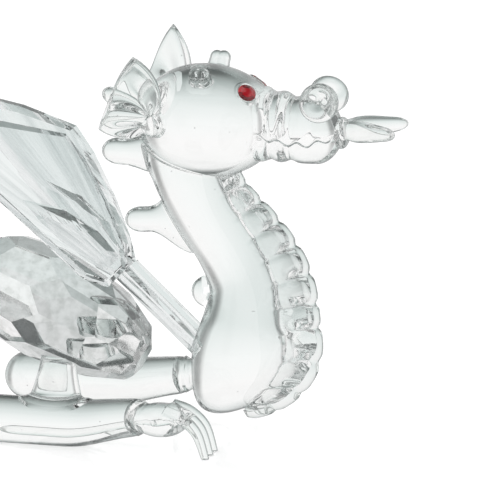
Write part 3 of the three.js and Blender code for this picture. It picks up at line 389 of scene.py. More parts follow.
def socket(side):
    """A shallow cup with a rounded lip, which holds the stone."""
    point, normal = head_skin(EYE_AHEAD, EYE_TURN, side)
    lip = np.linspace(0, pi, 14)
    edge = np.stack([SOCKET_LIP + SOCKET_ROUND * np.cos(lip), SOCKET_ROUND * np.sin(lip)], 1)
    low = [(TINY, -EYE_DEPTH), (SOCKET_LIP, -EYE_DEPTH), (SOCKET_LIP + SOCKET_ROUND, -EYE_SINK)]
    seat = [(EYE_ACROSS / 2, -EYE_SINK), (TINY, -EYE_SINK)]
    return lathe(np.concatenate([low, edge, seat]), 48, point, normal)


def nostril(side):
    """A pressed bead with a dimple in its outer face."""
    x, z, high, wide = (float(v) for v in muzzle_at(NOSTRIL_AHEAD / MUZZLE_LONG))
    out = np.array((0, side * wide * sin(rad(NOSTRIL_TURN)), high * cos(rad(NOSTRIL_TURN))))
    centre = np.array((x, 0, z)) + unit(out) * (np.linalg.norm(out) + NOSTRIL_PROUD)
    radius, half = NOSTRIL_ACROSS / 2, NOSTRIL_THICK / 2
    angle = np.linspace(-pi / 2, pi / 2, 28)
    edge = np.stack([radius - half + half * np.cos(angle), half * np.sin(angle)], 1)
    share = np.linspace(1, 0.01, 16)[1:]
    sunk = NOSTRIL_DIMPLE * smooth(1 - share, 0, NOSTRIL_DISH)
    dish = np.stack([(radius - half) * share, half - sunk], 1)
    base = np.stack([(radius - half) * share[::-1], np.full(len(share), -half)], 1)
    facing = (0, side * cos(rad(NOSTRIL_RISE)), sin(rad(NOSTRIL_RISE)))
    return lathe(np.concatenate([base, edge, dish]), 64, centre, facing)


def nose_tip():
    x, z, _, _ = (float(v) for v in muzzle_at(1.0))
    return np.array((x, 0, z))


def tongue_root():
    return egg(nose_tip(), TONGUE_BULB, TONGUE_BULB / 2, TONGUE_BULB, TONGUE_BULB, steps=32, sides=48)


def tongue_tine(side):
    share = np.array((0, 0.5, 1))
    y = side * lerp(TONGUE_FORK, TONGUE_SPREAD, share)
    lift = TONGUE_LIFT * lerp(TONGUE_START, 1, share)
    path = nose_tip() + np.stack([share * TONGUE_LONG, y, lift], 1)

    def size_at(at):
        swell = lerp(TONGUE_SLIM, 1, smooth(at, 0, TONGUE_SWELL))
        swell = swell * lerp(1, TONGUE_TAPER, smooth(at, TONGUE_SWELL, 1))
        size = fullness(at, 0, TONGUE_TIP) * swell
        return TONGUE_HIGH * size, TONGUE_THICK * size

    return rod(path, size_at, shares(40, 0, TONGUE_TIP), sides=40)


def ear_root(side):
    point, normal = head_skin(-EAR_BEHIND, EAR_TURN, side)
    return point + normal * EAR_PROUD


def ear_fan(side):
    """A ribbed fan that is cupped forwards, with a scalloped rim."""
    flare, tilt = rad(EAR_FLARE), rad(EAR_TILT)
    upright = unit((-sin(tilt), side * sin(flare), cos(flare)))
    level = np.array((-cos(flare), side * sin(flare), 0))
    level = unit(level - upright * level.dot(upright))
    share, along = np.meshgrid(np.linspace(0, 1, 73), np.linspace(0, 1, 37), indexing="ij")
    bow = EAR_BOW * (1 - share) ** 2 * (1 - along)
    turn = np.radians(90 + EAR_FORWARD - EAR_SWEEP * share + bow)
    upper = share < EAR_BACK
    part = np.where(upper, share / EAR_BACK, (share - EAR_BACK) / (1 - EAR_BACK))
    rim = np.where(upper, lerp(EAR_HIGH, EAR_LONG, part), lerp(EAR_LONG, EAR_LIP, part))
    hollow = np.where(upper, EAR_HOLLOW, EAR_SCALLOP) * np.sin(pi * part)
    reach = lerp(EAR_BULB / 2, rim - hollow, along)
    rib = 0.5 + 0.5 * np.cos(2 * pi * (EAR_RIBS - 1) * share)
    half = lerp(EAR_VALLEY, EAR_THICK, rib) / 2 * lerp(1, EAR_EDGE, along ** 3)
    for inward, size in ((1 - along, EAR_ROUND), (np.minimum(share, 1 - share), EAR_SIDE)):
        half = half * np.sqrt(np.clip(1 - np.maximum(0, 1 - inward / size) ** 2, EAR_THIN, 1))
    lift = side * EAR_CUP * np.sin(pi * share) * along
    return fan(ear_root(side), level, upright, turn, reach, half, lift)


def ear_bulb(side):
    return egg(ear_root(side), EAR_BULB, EAR_BULB, EAR_BULB, EAR_BULB, steps=32, sides=48)


def horn(side, lobe):
    point, normal = head_skin(HORN_AHEAD, HORN_TURN, side)
    point = point + AHEAD * lobe * HORN_APART / 2
    end = HORN_ACROSS / 2 / (ROOT + HORN_LONG)

    def size_at(at):
        flare = lerp(HORN_FLARE, 1, smooth(at, HORN_FLARE_FROM, HORN_FLARE_TO))
        half = HORN_ACROSS / 2 * fullness(at, 0, end) * flare
        return half, half

    path = [point + normal * k for k in (-ROOT, (HORN_LONG - ROOT) / 2, HORN_LONG)]
    return rod(path, size_at, shares(24, 0, end, end_steps=14), sides=40, beside=AHEAD)


# The neck's middle line and half sizes, from the head down to the chest
stations = np.array(NECK_STATIONS)
neck_x = lerp(CHEST_X, HEAD_X - NECK_BEHIND, stations[:, 0]) + stations[:, 1]
neck_z = CHEST_Z + stations[:, 0] * (HEAD_Z - CHEST_Z)
neck_line = np.stack([neck_x, np.zeros(len(neck_x)), neck_z], 1)
neck_path = Curve(np.concatenate([[(CHEST_X, 0, CHEST_Z)], neck_line])[::-1])
neck_sizes = np.stack([stations[:, 2], stations[:, 3], np.zeros(len(neck_x))], 1)
neck_widths = Curve(np.concatenate([[(CHEST_DEEP, CHEST_WIDE, 0)], neck_sizes])[::-1])


def neck_at(place):
    """The neck's section: place 0 is inside the head, 1 the widest chest and 2 the underside."""
    place = np.atleast_1d(np.asarray(place, float))
    upper = np.minimum(place, 1)
    tangent = neck_path.tangent(upper)
    front = unit(np.cross(tangent, np.broadcast_to(ASIDE, tangent.shape)))
    front = unit(lerp(front, AHEAD, smooth(upper, CHEST_START, 1)[:, None]))
    size = neck_widths.at(upper)
    angle = np.maximum(place - 1, 0) * pi / 2
    drop = np.sin(angle)
    down = np.stack([-CHEST_TUCK * drop ** 2, np.zeros_like(drop), -CHEST_DROP * drop], 1)
    left = np.cos(angle)
    return neck_path.at(upper) + down, front, size[:, 0] * left, size[:, 1] * left


neck_places = np.concatenate([np.linspace(0, 1, 110), 1 + np.linspace(0, 0.995, 60)[1:]])
eased = ease(np.column_stack(neck_at(neck_places)), NECK_EASE)
eased_slopes = np.gradient(eased, axis=0)


def eased_neck(place):
    """The neck's sections with the bends between them drawn out."""
    index = np.interp(place, neck_places, np.arange(len(neck_places)))
    low = np.minimum(index.astype(int), len(neck_places) - 2)
    w = (index - low)[:, None]
    sizes = hermite(eased[low], eased[low + 1], eased_slopes[low], eased_slopes[low + 1], w)
    return sizes[:, :3], unit(sizes[:, 3:6]), sizes[:, 6:7], sizes[:, 7:8]


def neck_skin(place, angle):
    """Points of the neck, for each place a row of angles from its front line."""
    middle, front, deep, wide = eased_neck(place)
    across, aside = deep * np.cos(angle), wide * np.sin(angle)
    return middle[:, None] + across[..., None] * front[:, None] + aside[..., None] * ASIDE


def throat_at(place):
    """The neck's front line and the way out of it."""
    near = 0.01
    zero = np.zeros((len(place), 1))
    along = (neck_skin(place + near, zero) - neck_skin(place - near, zero))[:, 0]
    return neck_skin(place, zero)[:, 0], unit(np.cross(along, np.broadcast_to(ASIDE, along.shape)))


# The crest's stations, its height there and the angle round the neck at which its flanks leave it
fine = np.linspace(CREST_TOP, CREST_END, 801)
throat_length = lengths(throat_at(fine)[0])
crest_share = np.linspace(0, 1, CREST_SCALLOPS * CREST_STATIONS + 1)
crest_places = np.interp(crest_share * throat_length[-1], throat_length, fine)
crest_tall = lerp(CREST_LOW, CREST_HIGH, np.sin(pi * crest_share) ** CREST_SWELL)
throat, throat_out = throat_at(crest_places)
crest_aim = throat + throat_out * (crest_tall * CREST_LEAN)[:, None] + ASIDE * CREST_RIM


def flank_angles():
    """Where a line to the crest's aim just grazes the neck."""
    near = 0.004
    degrees = np.arange(FLANK_MOST + 1)
    angle = np.broadcast_to(np.radians(degrees), (len(crest_places), len(degrees)))
    spot = neck_skin(crest_places, angle)
    down = neck_skin(crest_places + near, angle) - neck_skin(crest_places - near, angle)
    around = neck_skin(crest_places, angle + near) - neck_skin(crest_places, angle - near)
    normal = unit(np.cross(around, down))
    normal = normal * np.sign((normal[:, 0] * throat_out).sum(1))[:, None, None]
    seen = (normal * (crest_aim[:, None] - spot)).sum(2)
    return ease(np.radians((seen > 0).argmin(1).astype(float)), FLANK_EASE)


flank_angle = flank_angles()


def neck():
    """The neck's skin, with a grid line along each flank of the crest, and what that covers."""
    rear_sides, front_sides = 112, 32
    upper = np.linspace(0, CREST_TOP - TINY, 24)
    lower = np.linspace(CREST_END + TINY, neck_places[-1], 30)
    place = np.concatenate([upper, crest_places, lower])
    turn = np.pad(flank_angle, (len(upper), len(lower)), "edge")[:, None]
    rear = lerp(turn, 2 * pi - turn, np.linspace(0, 1, rear_sides))
    front = lerp(SEAM - turn, turn - SEAM, np.linspace(0, 1, front_sides))
    covered = np.full((len(place), rear_sides + front_sides), -1.0)
    covered[len(upper):len(upper) + len(crest_places), rear_sides:] = 1.0
    points, faces = skin(neck_skin(place, np.concatenate([rear, front], 1)))
    return points, faces, np.concatenate([covered.ravel(), [-1.0, -1.0]])


def crest():
    """A ribbon that runs out of the neck's flanks to a thin rim, nipped into scallops by creases."""
    flank_steps, rim_steps = 28, 13
    phase = CREST_SCALLOPS * crest_share
    off = np.abs(phase - np.round(phase))[:, None]
    high = crest_tall[:, None] * (1 - CREST_NOTCH * np.exp(-(off / CREST_SHARP) ** 2))
    root = neck_skin(crest_places, flank_angle[:, None])
    aim = crest_aim[:, None]
    along = unit(aim - root)
    bend = lerp(root, aim, CREST_HUG)
    rim = throat[:, None] + throat_out[:, None] * (high - CREST_RIM)[..., None] + ASIDE * CREST_RIM
    u = np.linspace(0, 1, flank_steps)[:, None]
    flank = root * (1 - u) ** 2 + bend * 2 * u * (1 - u) + rim * u ** 2
    arc = np.linspace(0, pi / 2, rim_steps + 1)[1:]
    over = (high - CREST_RIM * (1 - np.sin(arc)))[..., None]
    aside = (CREST_RIM * np.cos(arc))[:, None]
    top = throat[:, None] + throat_out[:, None] * over + ASIDE * aside
    rim_rise = lerp(CREST_FLANK, 1, arc / (pi / 2))
    rise = np.concatenate([np.linspace(0, CREST_FLANK, flank_steps), rim_rise])
    crease = np.exp(-(off / (CREST_SHARP * lerp(CRIMP_NARROW, CRIMP_WIDE, rise))) ** 2)
    half = np.concatenate([flank, top], 1)
    half[..., 1] *= 1 - CREST_PINCH * crease * smooth(rise, CRIMP_FROM, CRIMP_TO)
    inner = throat[:, None] - throat_out[:, None] * CREST_SINK + root * (0, 0.5, 0)
    half = np.concatenate([inner, root - along * SEAM, half], 1)
    mirror = half[:, -2::-1] * (1, -1, 1)
    covered = np.full(half.shape[1], -1.0)
    covered[:2] = 1.0
    points, faces = skin(np.concatenate([half, mirror], 1))
    ring = np.concatenate([covered, covered[-2::-1]])
    return points, faces, np.concatenate([np.tile(ring, len(half)), [-1.0, -1.0]])


def fin(base, spec):
    """A flat tab that flares out to its root."""
    reach, tip, wide, rise = (spec[key] for key in ("reach", "tip", "root", "rise"))
    away = np.array((-cos(rad(rise)), 0, sin(rad(rise))))
    deep = 2 * ROOT
    long = reach + deep
    path = [base + away * (s * long - deep) for s in (0, 0.5, 1)]
    end = FIN_ROUND * tip / long

    def size_at(at):
        size = fullness(at, 0, end)
        flare = 1 - smooth(at * long, deep * FIN_FLARE_FROM, deep + reach * FIN_FLARE_TO)
        return lerp(tip, wide, flare) * size, FIN_THICK / 2 * size

    return rod(path, size_at, shares(50, 0, end, end_steps=16), sides=48)


def head_fin():
    point, _ = head_skin(-HEAD_BACK * cos(rad(HEAD_FIN["up"])), 0, 1)
    return fin(point, HEAD_FIN)


def neck_fin(spec):
    middle, front, deep, _ = neck_at(spec["place"])
    return fin(middle[0] - front[0] * deep[0] + UP * spec["lift"], spec)


def grounded(shape):
    points, faces = shape
    points[:, 2] = np.maximum(points[:, 2], 0)
    return points, faces


def foot(side):
    long = FOOT_HEEL + FOOT_TOE
    heel, toe = FOOT_RADIUS / long, FOOT_TOE_RADIUS / long
    share = shares(80, heel, toe, end_steps=20)
    slim = smooth(share, FOOT_SLIM, 1)
    radius = lerp(FOOT_RADIUS, FOOT_TOE_RADIUS, slim)
    z = radius - SOLE_CUT + FOOT_TOE_LIFT * slim
    x = BODY_X + lerp(-FOOT_HEEL, FOOT_TOE, share)
    middle = np.stack([x, np.full(len(share), side * FOOT_Y), z], 1)
    size = radius * fullness(share, heel, toe)
    return grounded(skin(sweep(middle, UP, ASIDE, size, size, sides=96)))


def body_under(x, y):
    along = (x - BODY_X) / cos(rad(BODY_TILT))
    long = BODY_BACK if along < 0 else BODY_FRONT
    left = max(0, 1 - (along / long) ** 2 - (y / BODY_WIDE) ** 2)
    return BODY_Z - along * sin(rad(BODY_TILT)) - BODY_UNDER * sqrt(left)


def post(side):
    x = BODY_X + POST_AHEAD
    top = body_under(x - POST_RAKE, FOOT_Y - POST_LEAN) + ROOT / 2
    base = 2 * FOOT_RADIUS - SOLE_CUT - ROOT / 2
    share = np.linspace(0, 1, 40)
    flare = (1 - share) ** POST_FLARE
    long, wide = lerp(POST_TOP, POST_BASE_LONG, flare), lerp(POST_TOP, POST_BASE_WIDE, flare)
    y = side * (FOOT_Y - POST_LEAN * share)
    middle = np.stack([x - POST_RAKE * share, y, lerp(base, top, share)], 1)
    return skin(sweep(middle, AHEAD, ASIDE, long, wide, sides=64))


def paw_middle(side):
    lift = FOOT_TOE_RADIUS - SOLE_CUT + FOOT_TOE_LIFT
    return np.array((BODY_X + FOOT_TOE + PAW_AHEAD, side * (FOOT_Y + PAW_OUT), lift))


def paw(side):
    return egg(paw_middle(side), PAW_LONG, PAW_LONG, PAW_HIGH, PAW_WIDE, steps=48, sides=64)


def claw(side, index):
    """A thin hook from the top of the paw down to the ground."""
    middle = paw_middle(side)
    order = index - (CLAWS - 1) / 2
    turn = rad(CLAW_SPREAD) * order
    way = np.array((cos(turn), -side * sin(turn), 0))
    end = CLAW_TIP / CLAW_REACH
    steps = (
        (PAW_LONG * CLAW_ROOT[0], PAW_HIGH * CLAW_ROOT[1]),
        (PAW_LONG * CLAW_ARCH[0], PAW_HIGH * CLAW_ARCH[1]),
        (CLAW_REACH * CLAW_DROP[0], PAW_HIGH * CLAW_DROP[1]),
        (CLAW_REACH, -CLAW_TIP - middle[2]),
    )
    path = [middle + way * out + np.array((0, -side * CLAW_PITCH * order, up)) for out, up in steps]

    def size_at(at):
        half = lerp(CLAW_ACROSS / 2, CLAW_TIP, at ** CLAW_SLIM) * fullness(at, 0, end)
        return half, half

    return grounded(rod(path, size_at, shares(44, 0, end), sides=32, beside=np.cross(UP, way)))


def tail():
    tilt = rad(BODY_TILT)
    end = np.array((BODY_X - BODY_BACK * cos(tilt), 0, BODY_Z + BODY_BACK * sin(tilt)))
    bends = [(-TAIL_BACK * back, TAIL_RISE * rise) for back, rise in TAIL_BENDS]
    steps = [(2 * ROOT, -ROOT * sin(tilt)), *bends, (-TAIL_BACK + TAIL_CURL, TAIL_RISE)]
    tip = TAIL_TIP / (TAIL_BACK + TAIL_RISE)

    def size_at(at):
        half = lerp(TAIL_RADIUS, TAIL_TIP, at) * fullness(at, 0, tip)
        return half, half

    path = [end + np.array((x, 0, z)) for x, z in steps]
    return rod(path, size_at, shares(90, 0, tip), sides=64)


def stem_line(side):
    """Where a wing stem starts at its hub, the way that it runs and where it ends in the neck."""
    hub = np.array((BODY_X + HUB_AHEAD, side * HUB_ASIDE, BODY_Z + HUB_OVER))
    middle, front, deep, _ = neck_at(STEM_PLACE)
    foot_point = middle[0] + front[0] * (ROOT - deep[0])
    foot_point[1] = side * STEM_WIDE / 2
    way = unit(foot_point - hub)
    return hub - way * HUB_FLAT, way, foot_point


def stem(side):
    seat, way, foot_point = stem_line(side)
    start = seat + way * STEM_TOUCH

    def size_at(at):
        return np.full(len(at), STEM_WIDE / 2), lerp(STEM_THICK, STEM_THIN, at) / 2

    return rod([start, (start + foot_point) / 2, foot_point], size_at, np.linspace(0, 1, 3), sides=8)


# Meshes


def add_object(name, data):
    thing = bpy.data.objects.new(name, data)
    bpy.context.scene.collection.objects.link(thing)
    return thing


def to_mesh(name, points, faces, flat=False):
    world = (np.asarray(points) + np.array((SHIFT_X, 0, 0))) * MM
    mesh = bpy.data.meshes.new(name)
    mesh.from_pydata([tuple(p) for p in world], [], outward(np.asarray(points), faces))
    mesh.update()
    mesh.polygons.foreach_set("use_smooth", [not flat] * len(mesh.polygons))
    return add_object(name, mesh)


class Blank:
    """A closed skin before it becomes a piece, with a search tree for what lies inside it."""

    def __init__(self, points, faces):
        self.points = np.asarray(points, float)
        self.faces = outward(self.points, faces)
        self.tree = BVHTree.FromPolygons([tuple(p) for p in self.points], self.faces)
        self.low, self.high = self.points.min(0), self.points.max(0)

    def depth(self, points, reach):
        """How deep each point lies inside the skin; points further out than reach give -reach."""
        result = np.full(len(points), -reach)
        near = np.all((points > self.low - reach) & (points < self.high + reach), axis=1)
        for i in np.flatnonzero(near):
            at = Vector(points[i])
            spot, normal, _, distance = self.tree.find_nearest(at)
            result[i] = max(-reach, -distance if (at - spot).dot(normal) > 0 else distance)
        return result


def normals(points, faces):
    total = np.zeros_like(points)
    for face in faces:
        a, b, c = points[face[0]], points[face[1]], points[face[2]]
        n = np.cross(b - a, c - a)
        for i in face:
            total[i] += n
    return total / np.maximum(np.linalg.norm(total, axis=1, keepdims=True), 1e-12)


def fillet(shape, carrier, radius):
    """Spreads a trimming's root where it meets its carrier, as fused glass does."""
    points, faces = shape
    faces = outward(points, faces)
    out = -carrier.depth(points, radius)
    push = radius * np.clip(1 - out / radius, 0, FILLET_DEEP) ** 2
    return points + normals(points, faces) * push[:, None] * FILLET_PUSH, faces


blanks = {}


def add_blank(name, shape, carrier=None, radius=0.0):
    if carrier:
        shape = fillet(shape, blanks[carrier], radius)
    blanks[name] = Blank(*shape)


add_blank("head", head())
*neck_shape, neck_covered = neck()
*crest_shape, crest_covered = crest()
add_blank("neck", neck_shape, "head", FILLET_NECK)
add_blank("upper_jaw", jaw(True))
add_blank("lower_jaw", jaw(False))
add_blank("tongue.root", tongue_root())
add_blank("throat_crest", crest_shape, "head", FILLET_NECK)
add_blank("nape_fin_1", head_fin(), "head", FILLET_FIN)
for number, spec in enumerate(NECK_FINS):
    add_blank(f"nape_fin_{number + 2}", neck_fin(spec), "neck", FILLET_FIN)
add_blank("tail", tail())
for label, side in SIDES:
    add_blank(f"tongue.{label}", tongue_tine(side))
    add_blank(f"head.{label}", socket(side), "head", FILLET_SOCKET)
    add_blank(f"{label}_nostril", nostril(side))
    add_blank(f"{label}_ear.bulb", ear_bulb(side), "head", FILLET_EAR)
    add_blank(f"{label}_ear.fan", ear_fan(side))
    add_blank(f"{label}_brow_horn.rear", horn(side, -1), "head", FILLET_HORN)
    add_blank(f"{label}_brow_horn.front", horn(side, 1), "head", FILLET_HORN)
    add_blank(f"{label}_foot", foot(side))
    add_blank(f"{label}_leg_post", post(side), f"{label}_foot", FILLET_POST)
    add_blank(f"{label}_paw", paw(side), f"{label}_foot", FILLET_PAW)
    for number in range(CLAWS):
        add_blank(f"{label}_claw_{number + 1}", claw(side, number), f"{label}_paw", FILLET_CLAW)

# Each piece and the skins that it is made of
GLASS = {name: [name] for name in blanks if "." not in name}
GLASS["head"] = ["head", "head.right", "head.left"]
GLASS["tongue"] = ["tongue.root", "tongue.right", "tongue.left"]
for label, _ in SIDES:
    GLASS[f"{label}_ear"] = [f"{label}_ear.fan", f"{label}_ear.bulb"]
    GLASS[f"{label}_brow_horn"] = [f"{label}_brow_horn.rear", f"{label}_brow_horn.front"]


def solid_blank(name):
    """The skin of a solid of the part, in the modelling frame."""
    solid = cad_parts[name]
    points = np.array([solid.matrix_world @ v.co for v in solid.data.vertices]) / MM - (SHIFT_X, 0, 0)
    return Blank(points, [tuple(face.vertices) for face in solid.data.polygons])


def boxes_meet(a, b):
    return np.all(blanks[a].low < blanks[b].high) and np.all(blanks[b].low < blanks[a].high)


# Pairs of which the first keeps its whole skin, or is covered along a seam of its own
KEPT = {
    ("upper_jaw", "lower_jaw"),
    ("lower_jaw", "upper_jaw"),
    ("neck", "throat_crest"),
    ("throat_crest", "neck"),
    ("head", "throat_crest"),
    ("right_paw", "right_foot"),
    ("left_paw", "left_foot"),
}
SEAMS = {"neck": neck_covered, "throat_crest": crest_covered}

# How deep each point lies inside what it is fused to; above 0 its skin is hidden
body = solid_blank("body_crystal")
cover = {}
for name, blank in blanks.items():
    inside = body.depth(blank.points, MASK_REACH)
    for other in blanks:
        if other == name or (name, other) in KEPT or not boxes_meet(name, other):
            continue
        inside = np.maximum(inside, blanks[other].depth(blank.points, MASK_REACH))
    cover[name] = np.maximum(inside, SEAMS[name]) if name in SEAMS else inside


def glass_piece(name, parts):
    """A piece made of one or more skins, which carries how deep each point is covered."""
    points, faces, inside = [], [], []
    start = 0
    for part in parts:
        blank = blanks[part]
        points.append(blank.points)
        faces += [tuple(i + start for i in face) for face in blank.faces]
        inside.append(cover[part])
        start += len(blank.points)
    piece = to_mesh(name, np.concatenate(points), faces)
    attribute = piece.data.attributes.new("cover", "FLOAT", "POINT")
    attribute.data.foreach_set("value", np.concatenate(inside).astype(np.float32))
    return piece


def grey(value):
    return (value, value, value)


# Finishes: colours by how far a face turns from the view, which paint shade on the edges, or by the value
# of a noise
# The glass's own pale tint, darkened by painted shade as a face turns from the view: clear glass, crest,
# body, cut stones
CLEAR_EDGE_SHADE = (
    (0.0, (0.97, 0.98, 0.975)),
    (0.42, (0.93, 0.95, 0.94)),
    (0.6, (0.6, 0.65, 0.64)),
    (0.82, (0.16, 0.18, 0.18)),
    (1.0, (0.05, 0.055, 0.055)),
)
CREST_EDGE_SHADE = (
    (0.0, (0.93, 0.945, 0.94)),
    (0.35, (0.83, 0.855, 0.845)),
    (0.6, (0.56, 0.6, 0.59)),
    (0.85, (0.26, 0.29, 0.28)),
    (1.0, (0.1, 0.11, 0.11)),
)
BODY_EDGE_SHADE = (
    (0.0, (0.97, 0.98, 0.975)),
    (0.4, (0.9, 0.91, 0.91)),
    (0.75, (0.76, 0.78, 0.78)),
    (1.0, (0.46, 0.48, 0.48)),
)
CUT_EDGE_SHADE = ((0.0, (0.94, 0.955, 0.955)), (0.6, (0.84, 0.87, 0.87)), (1.0, (0.3, 0.33, 0.34)))
# The stone's own red, darkened by painted shade as a face turns from the view
RED_EDGE_SHADE = ((0.0, (0.66, 0.003, 0.016)), (0.5, (0.46, 0.003, 0.014)), (1.0, (0.16, 0.004, 0.01)))
# Painted shade on each facet of the body by the way it faces
FACET_SHADE = ((0.36, (0.66, 0.68, 0.68)), (0.47, (0.88, 0.9, 0.9)), (0.56, grey(1.0)))
CLOUD_STOPS = ((0.36, (0.74, 0.75, 0.74)), (0.5, grey(0.93)), (0.6, grey(1.0)))
# Painted shade in streaks that fan out from the wing's hub
STREAK_SHADE = ((0.36, (0.8, 0.82, 0.82)), (0.48, (0.95, 0.96, 0.96)), (0.56, grey(1.0)))
BUBBLE_STOPS = ((0.0, grey(0.35)), (0.04, grey(0.5)), (0.055, grey(1.0)))
# Painted shade on each facet of the eye stone by the way it faces
STONE_FACET_SHADE = ((0.38, grey(0.25)), (0.5, grey(0.7)), (0.62, grey(1.0)))
FOIL, FOIL_EDGE = (0.86, 0.88, 0.87, 1), 0.98

# Refractive indices, low where the real value's inner reflections would break up into speckle, and the
# heights in millimetres between which the chest's gives way to the neck's
GLASS_INDEX, CHEST_INDEX, CREST_INDEX = 1.5, 1.4, 1.24
CUT_INDEX, BODY_INDEX, EYE_INDEX = 1.56, 1.36, 1.5
CHEST_FROM, CHEST_TO = 10, 20

# Roughness, scale and strength of a surface's waves, scales of the noises, and light let into shadows
CREST_ROUGHNESS, BODY_ROUGHNESS, EYE_ROUGHNESS = 0.03, 0.06, 0.05
DRAWN_WAVE, BODY_WAVE, CUT_WAVE = (220.0, 0.02), (220.0, 0.03), (90.0, 0.004)
FACET_SCALE, CLOUD_SCALE, STREAK_SCALE, BUBBLE_SCALE, EYE_SCALE = 2.6, 600.0, 26.0, 400.0, 7.0
EDGE_BLEND, EYE_BLEND, SHADOW_PASS = 0.5, 0.4, 0.88


def feed(tree, entry, value):
    """Links an output to a node's input, or sets a constant there."""
    if hasattr(value, "is_output"):
        tree.links.new(value, entry)
    else:
        entry.default_value = value


def add_node(tree, kind, **inputs):
    node = tree.nodes.new(f"ShaderNode{kind}")
    for key, value in inputs.items():
        feed(tree, node.inputs[key.replace("_", " ")], value)
    return node


def math_node(tree, operation, *values):
    node = add_node(tree, "Math")
    node.operation = operation
    for entry, value in zip(node.inputs, values):
        feed(tree, entry, value)
    return node.outputs[0]


def under(tree, name, limit):
    """1 where an attribute of the points is under a limit, else 0."""
    attribute = add_node(tree, "Attribute")
    attribute.attribute_name = name
    return math_node(tree, "LESS_THAN", attribute.outputs["Fac"], limit)


def mix(tree, blend, factor, a, b):
    node = add_node(tree, "Mix")
    node.data_type = "RGBA"
    node.blend_type = blend
    for key, value in (("Factor", factor), ("A", a), ("B", b)):
        feed(tree, node.inputs[key], value)
    return node.outputs["Result"]


def ramp(tree, factor, stops):
    node = add_node(tree, "ValToRGB")
    tree.links.new(factor, node.inputs["Fac"])
    elements = node.color_ramp.elements
    while len(elements) < len(stops):
        elements.new(0.5)
    for element, (position, colour) in zip(elements, stops):
        element.position = position
        element.color = (*colour, 1)
    return node.outputs["Color"]


def tint(tree, colours):
    result = colours[0]
    for colour in colours[1:]:
        result = mix(tree, "MULTIPLY", 1.0, result, colour)
    return result


def noise_tone(tree, spot, scale, detail, stops):
    noise = add_node(tree, "TexNoise", Vector=spot, Scale=scale, Detail=detail)
    return ramp(tree, noise.outputs["Fac"], stops)


def facet_shade_and_clouds(tree, place):
    """Painted shade for each facet by the way it faces, and clouds inside it."""
    facet = noise_tone(tree, place.outputs["Normal"], FACET_SCALE, 0.0, FACET_SHADE)
    return [facet, noise_tone(tree, place.outputs["Object"], CLOUD_SCALE, 3.0, CLOUD_STOPS)]


def wing_streak_shade(tree, place):
    """Painted shade in soft streaks that fan out from the wing's hub."""
    hub = np.array((BODY_X + HUB_AHEAD + SHIFT_X, 0, BODY_Z + HUB_OVER)) * MM
    ray = add_node(tree, "Mapping", Vector=place.outputs["Object"], Location=tuple(-hub))
    parts = add_node(tree, "SeparateXYZ", Vector=ray.outputs["Vector"])
    turn = math_node(tree, "ARCTAN2", parts.outputs["Z"], parts.outputs["X"])
    length = add_node(tree, "VectorMath")
    length.operation = "LENGTH"
    tree.links.new(ray.outputs["Vector"], length.inputs[0])
    spread = add_node(tree, "CombineXYZ", X=turn, Y=length.outputs["Value"])
    return [noise_tone(tree, spread.outputs["Vector"], STREAK_SCALE, 2.0, STREAK_SHADE)]


def bubble_tones(tree, place):
    """Tiny bubbles, sparse in the glass."""
    spot = add_node(tree, "TexVoronoi", Vector=place.outputs["Object"], Scale=BUBBLE_SCALE)
    return [ramp(tree, spot.outputs["Distance"], BUBBLE_STOPS)]


def new_finish(name, **constants):
    """A material, its node tree and its shader's inputs, with constants set on them."""
    material = bpy.data.materials.new(name)
    material.use_nodes = True
    inputs = material.node_tree.nodes["Principled BSDF"].inputs
    for key, value in constants.items():
        inputs[key.replace("_", " ")].default_value = value
    return material, material.node_tree, inputs


def glass(name, masked, index, edge_shade_stops, wave, tones=None, roughness=0.0):
    """Clear glass with edges darkened by painted shade, which hides the skin that lies inside a fused
    neighbour.
    """
    material, tree, inputs = new_finish(name, Roughness=roughness, IOR=index, Transmission_Weight=1.0)
    weight = add_node(tree, "LayerWeight", Blend=EDGE_BLEND)
    place = add_node(tree, "TexCoord")
    # Painted shade: the colour darkens towards the edges as a face turns from the view
    colours = [ramp(tree, weight.outputs["Facing"], edge_shade_stops)]
    if tones:
        colours += tones(tree, place)
    tree.links.new(tint(tree, colours), inputs["Base Color"])
    scale, strength = wave
    noise = add_node(tree, "TexNoise", Vector=place.outputs["Object"], Scale=scale, Detail=1.0)
    bump = add_node(tree, "Bump", Height=noise.outputs["Fac"], Strength=strength, Distance=MM)
    tree.links.new(bump.outputs["Normal"], inputs["Normal"])
    path = add_node(tree, "LightPath")
    shade = math_node(tree, "MULTIPLY", path.outputs["Is Shadow Ray"], SHADOW_PASS)
    alpha = math_node(tree, "SUBTRACT", 1.0, shade)
    if masked:
        alpha = math_node(tree, "MULTIPLY", alpha, under(tree, "cover", 0.0))
    tree.links.new(alpha, inputs["Alpha"])
    return material


def ease_chest(material):
    """Bends the light less in the thick chest than in the slim neck."""
    tree = material.node_tree
    spot = add_node(tree, "TexCoord")
    parts = add_node(tree, "SeparateXYZ", Vector=spot.outputs["Object"])
    bend = add_node(
        tree, "MapRange", Value=parts.outputs["Z"], From_Min=CHEST_FROM * MM, From_Max=CHEST_TO * MM,
        To_Min=CHEST_INDEX, To_Max=GLASS_INDEX,
    )
    tree.links.new(bend.outputs["Result"], tree.nodes["Principled BSDF"].inputs["IOR"])


def red_stone_finish():
    """A red crown over a back of silver foil, with painted shade on its edges and on its facets by the
    way they face.
    """
    material, tree, inputs = new_finish("red_stone", Roughness=EYE_ROUGHNESS, IOR=EYE_INDEX)
    weight = add_node(tree, "LayerWeight", Blend=EYE_BLEND)
    place = add_node(tree, "TexCoord")
    # Painted shade: the red darkens towards the edges and on facets by the way they face
    facet = noise_tone(tree, place.outputs["Normal"], EYE_SCALE, 0.0, STONE_FACET_SHADE)
    red = tint(tree, [ramp(tree, weight.outputs["Facing"], RED_EDGE_SHADE), facet])
    foil = under(tree, "crown", FOIL_EDGE)
    tree.links.new(foil, inputs["Metallic"])
    tree.links.new(mix(tree, "MIX", foil, red, FOIL), inputs["Base Color"])
    return material


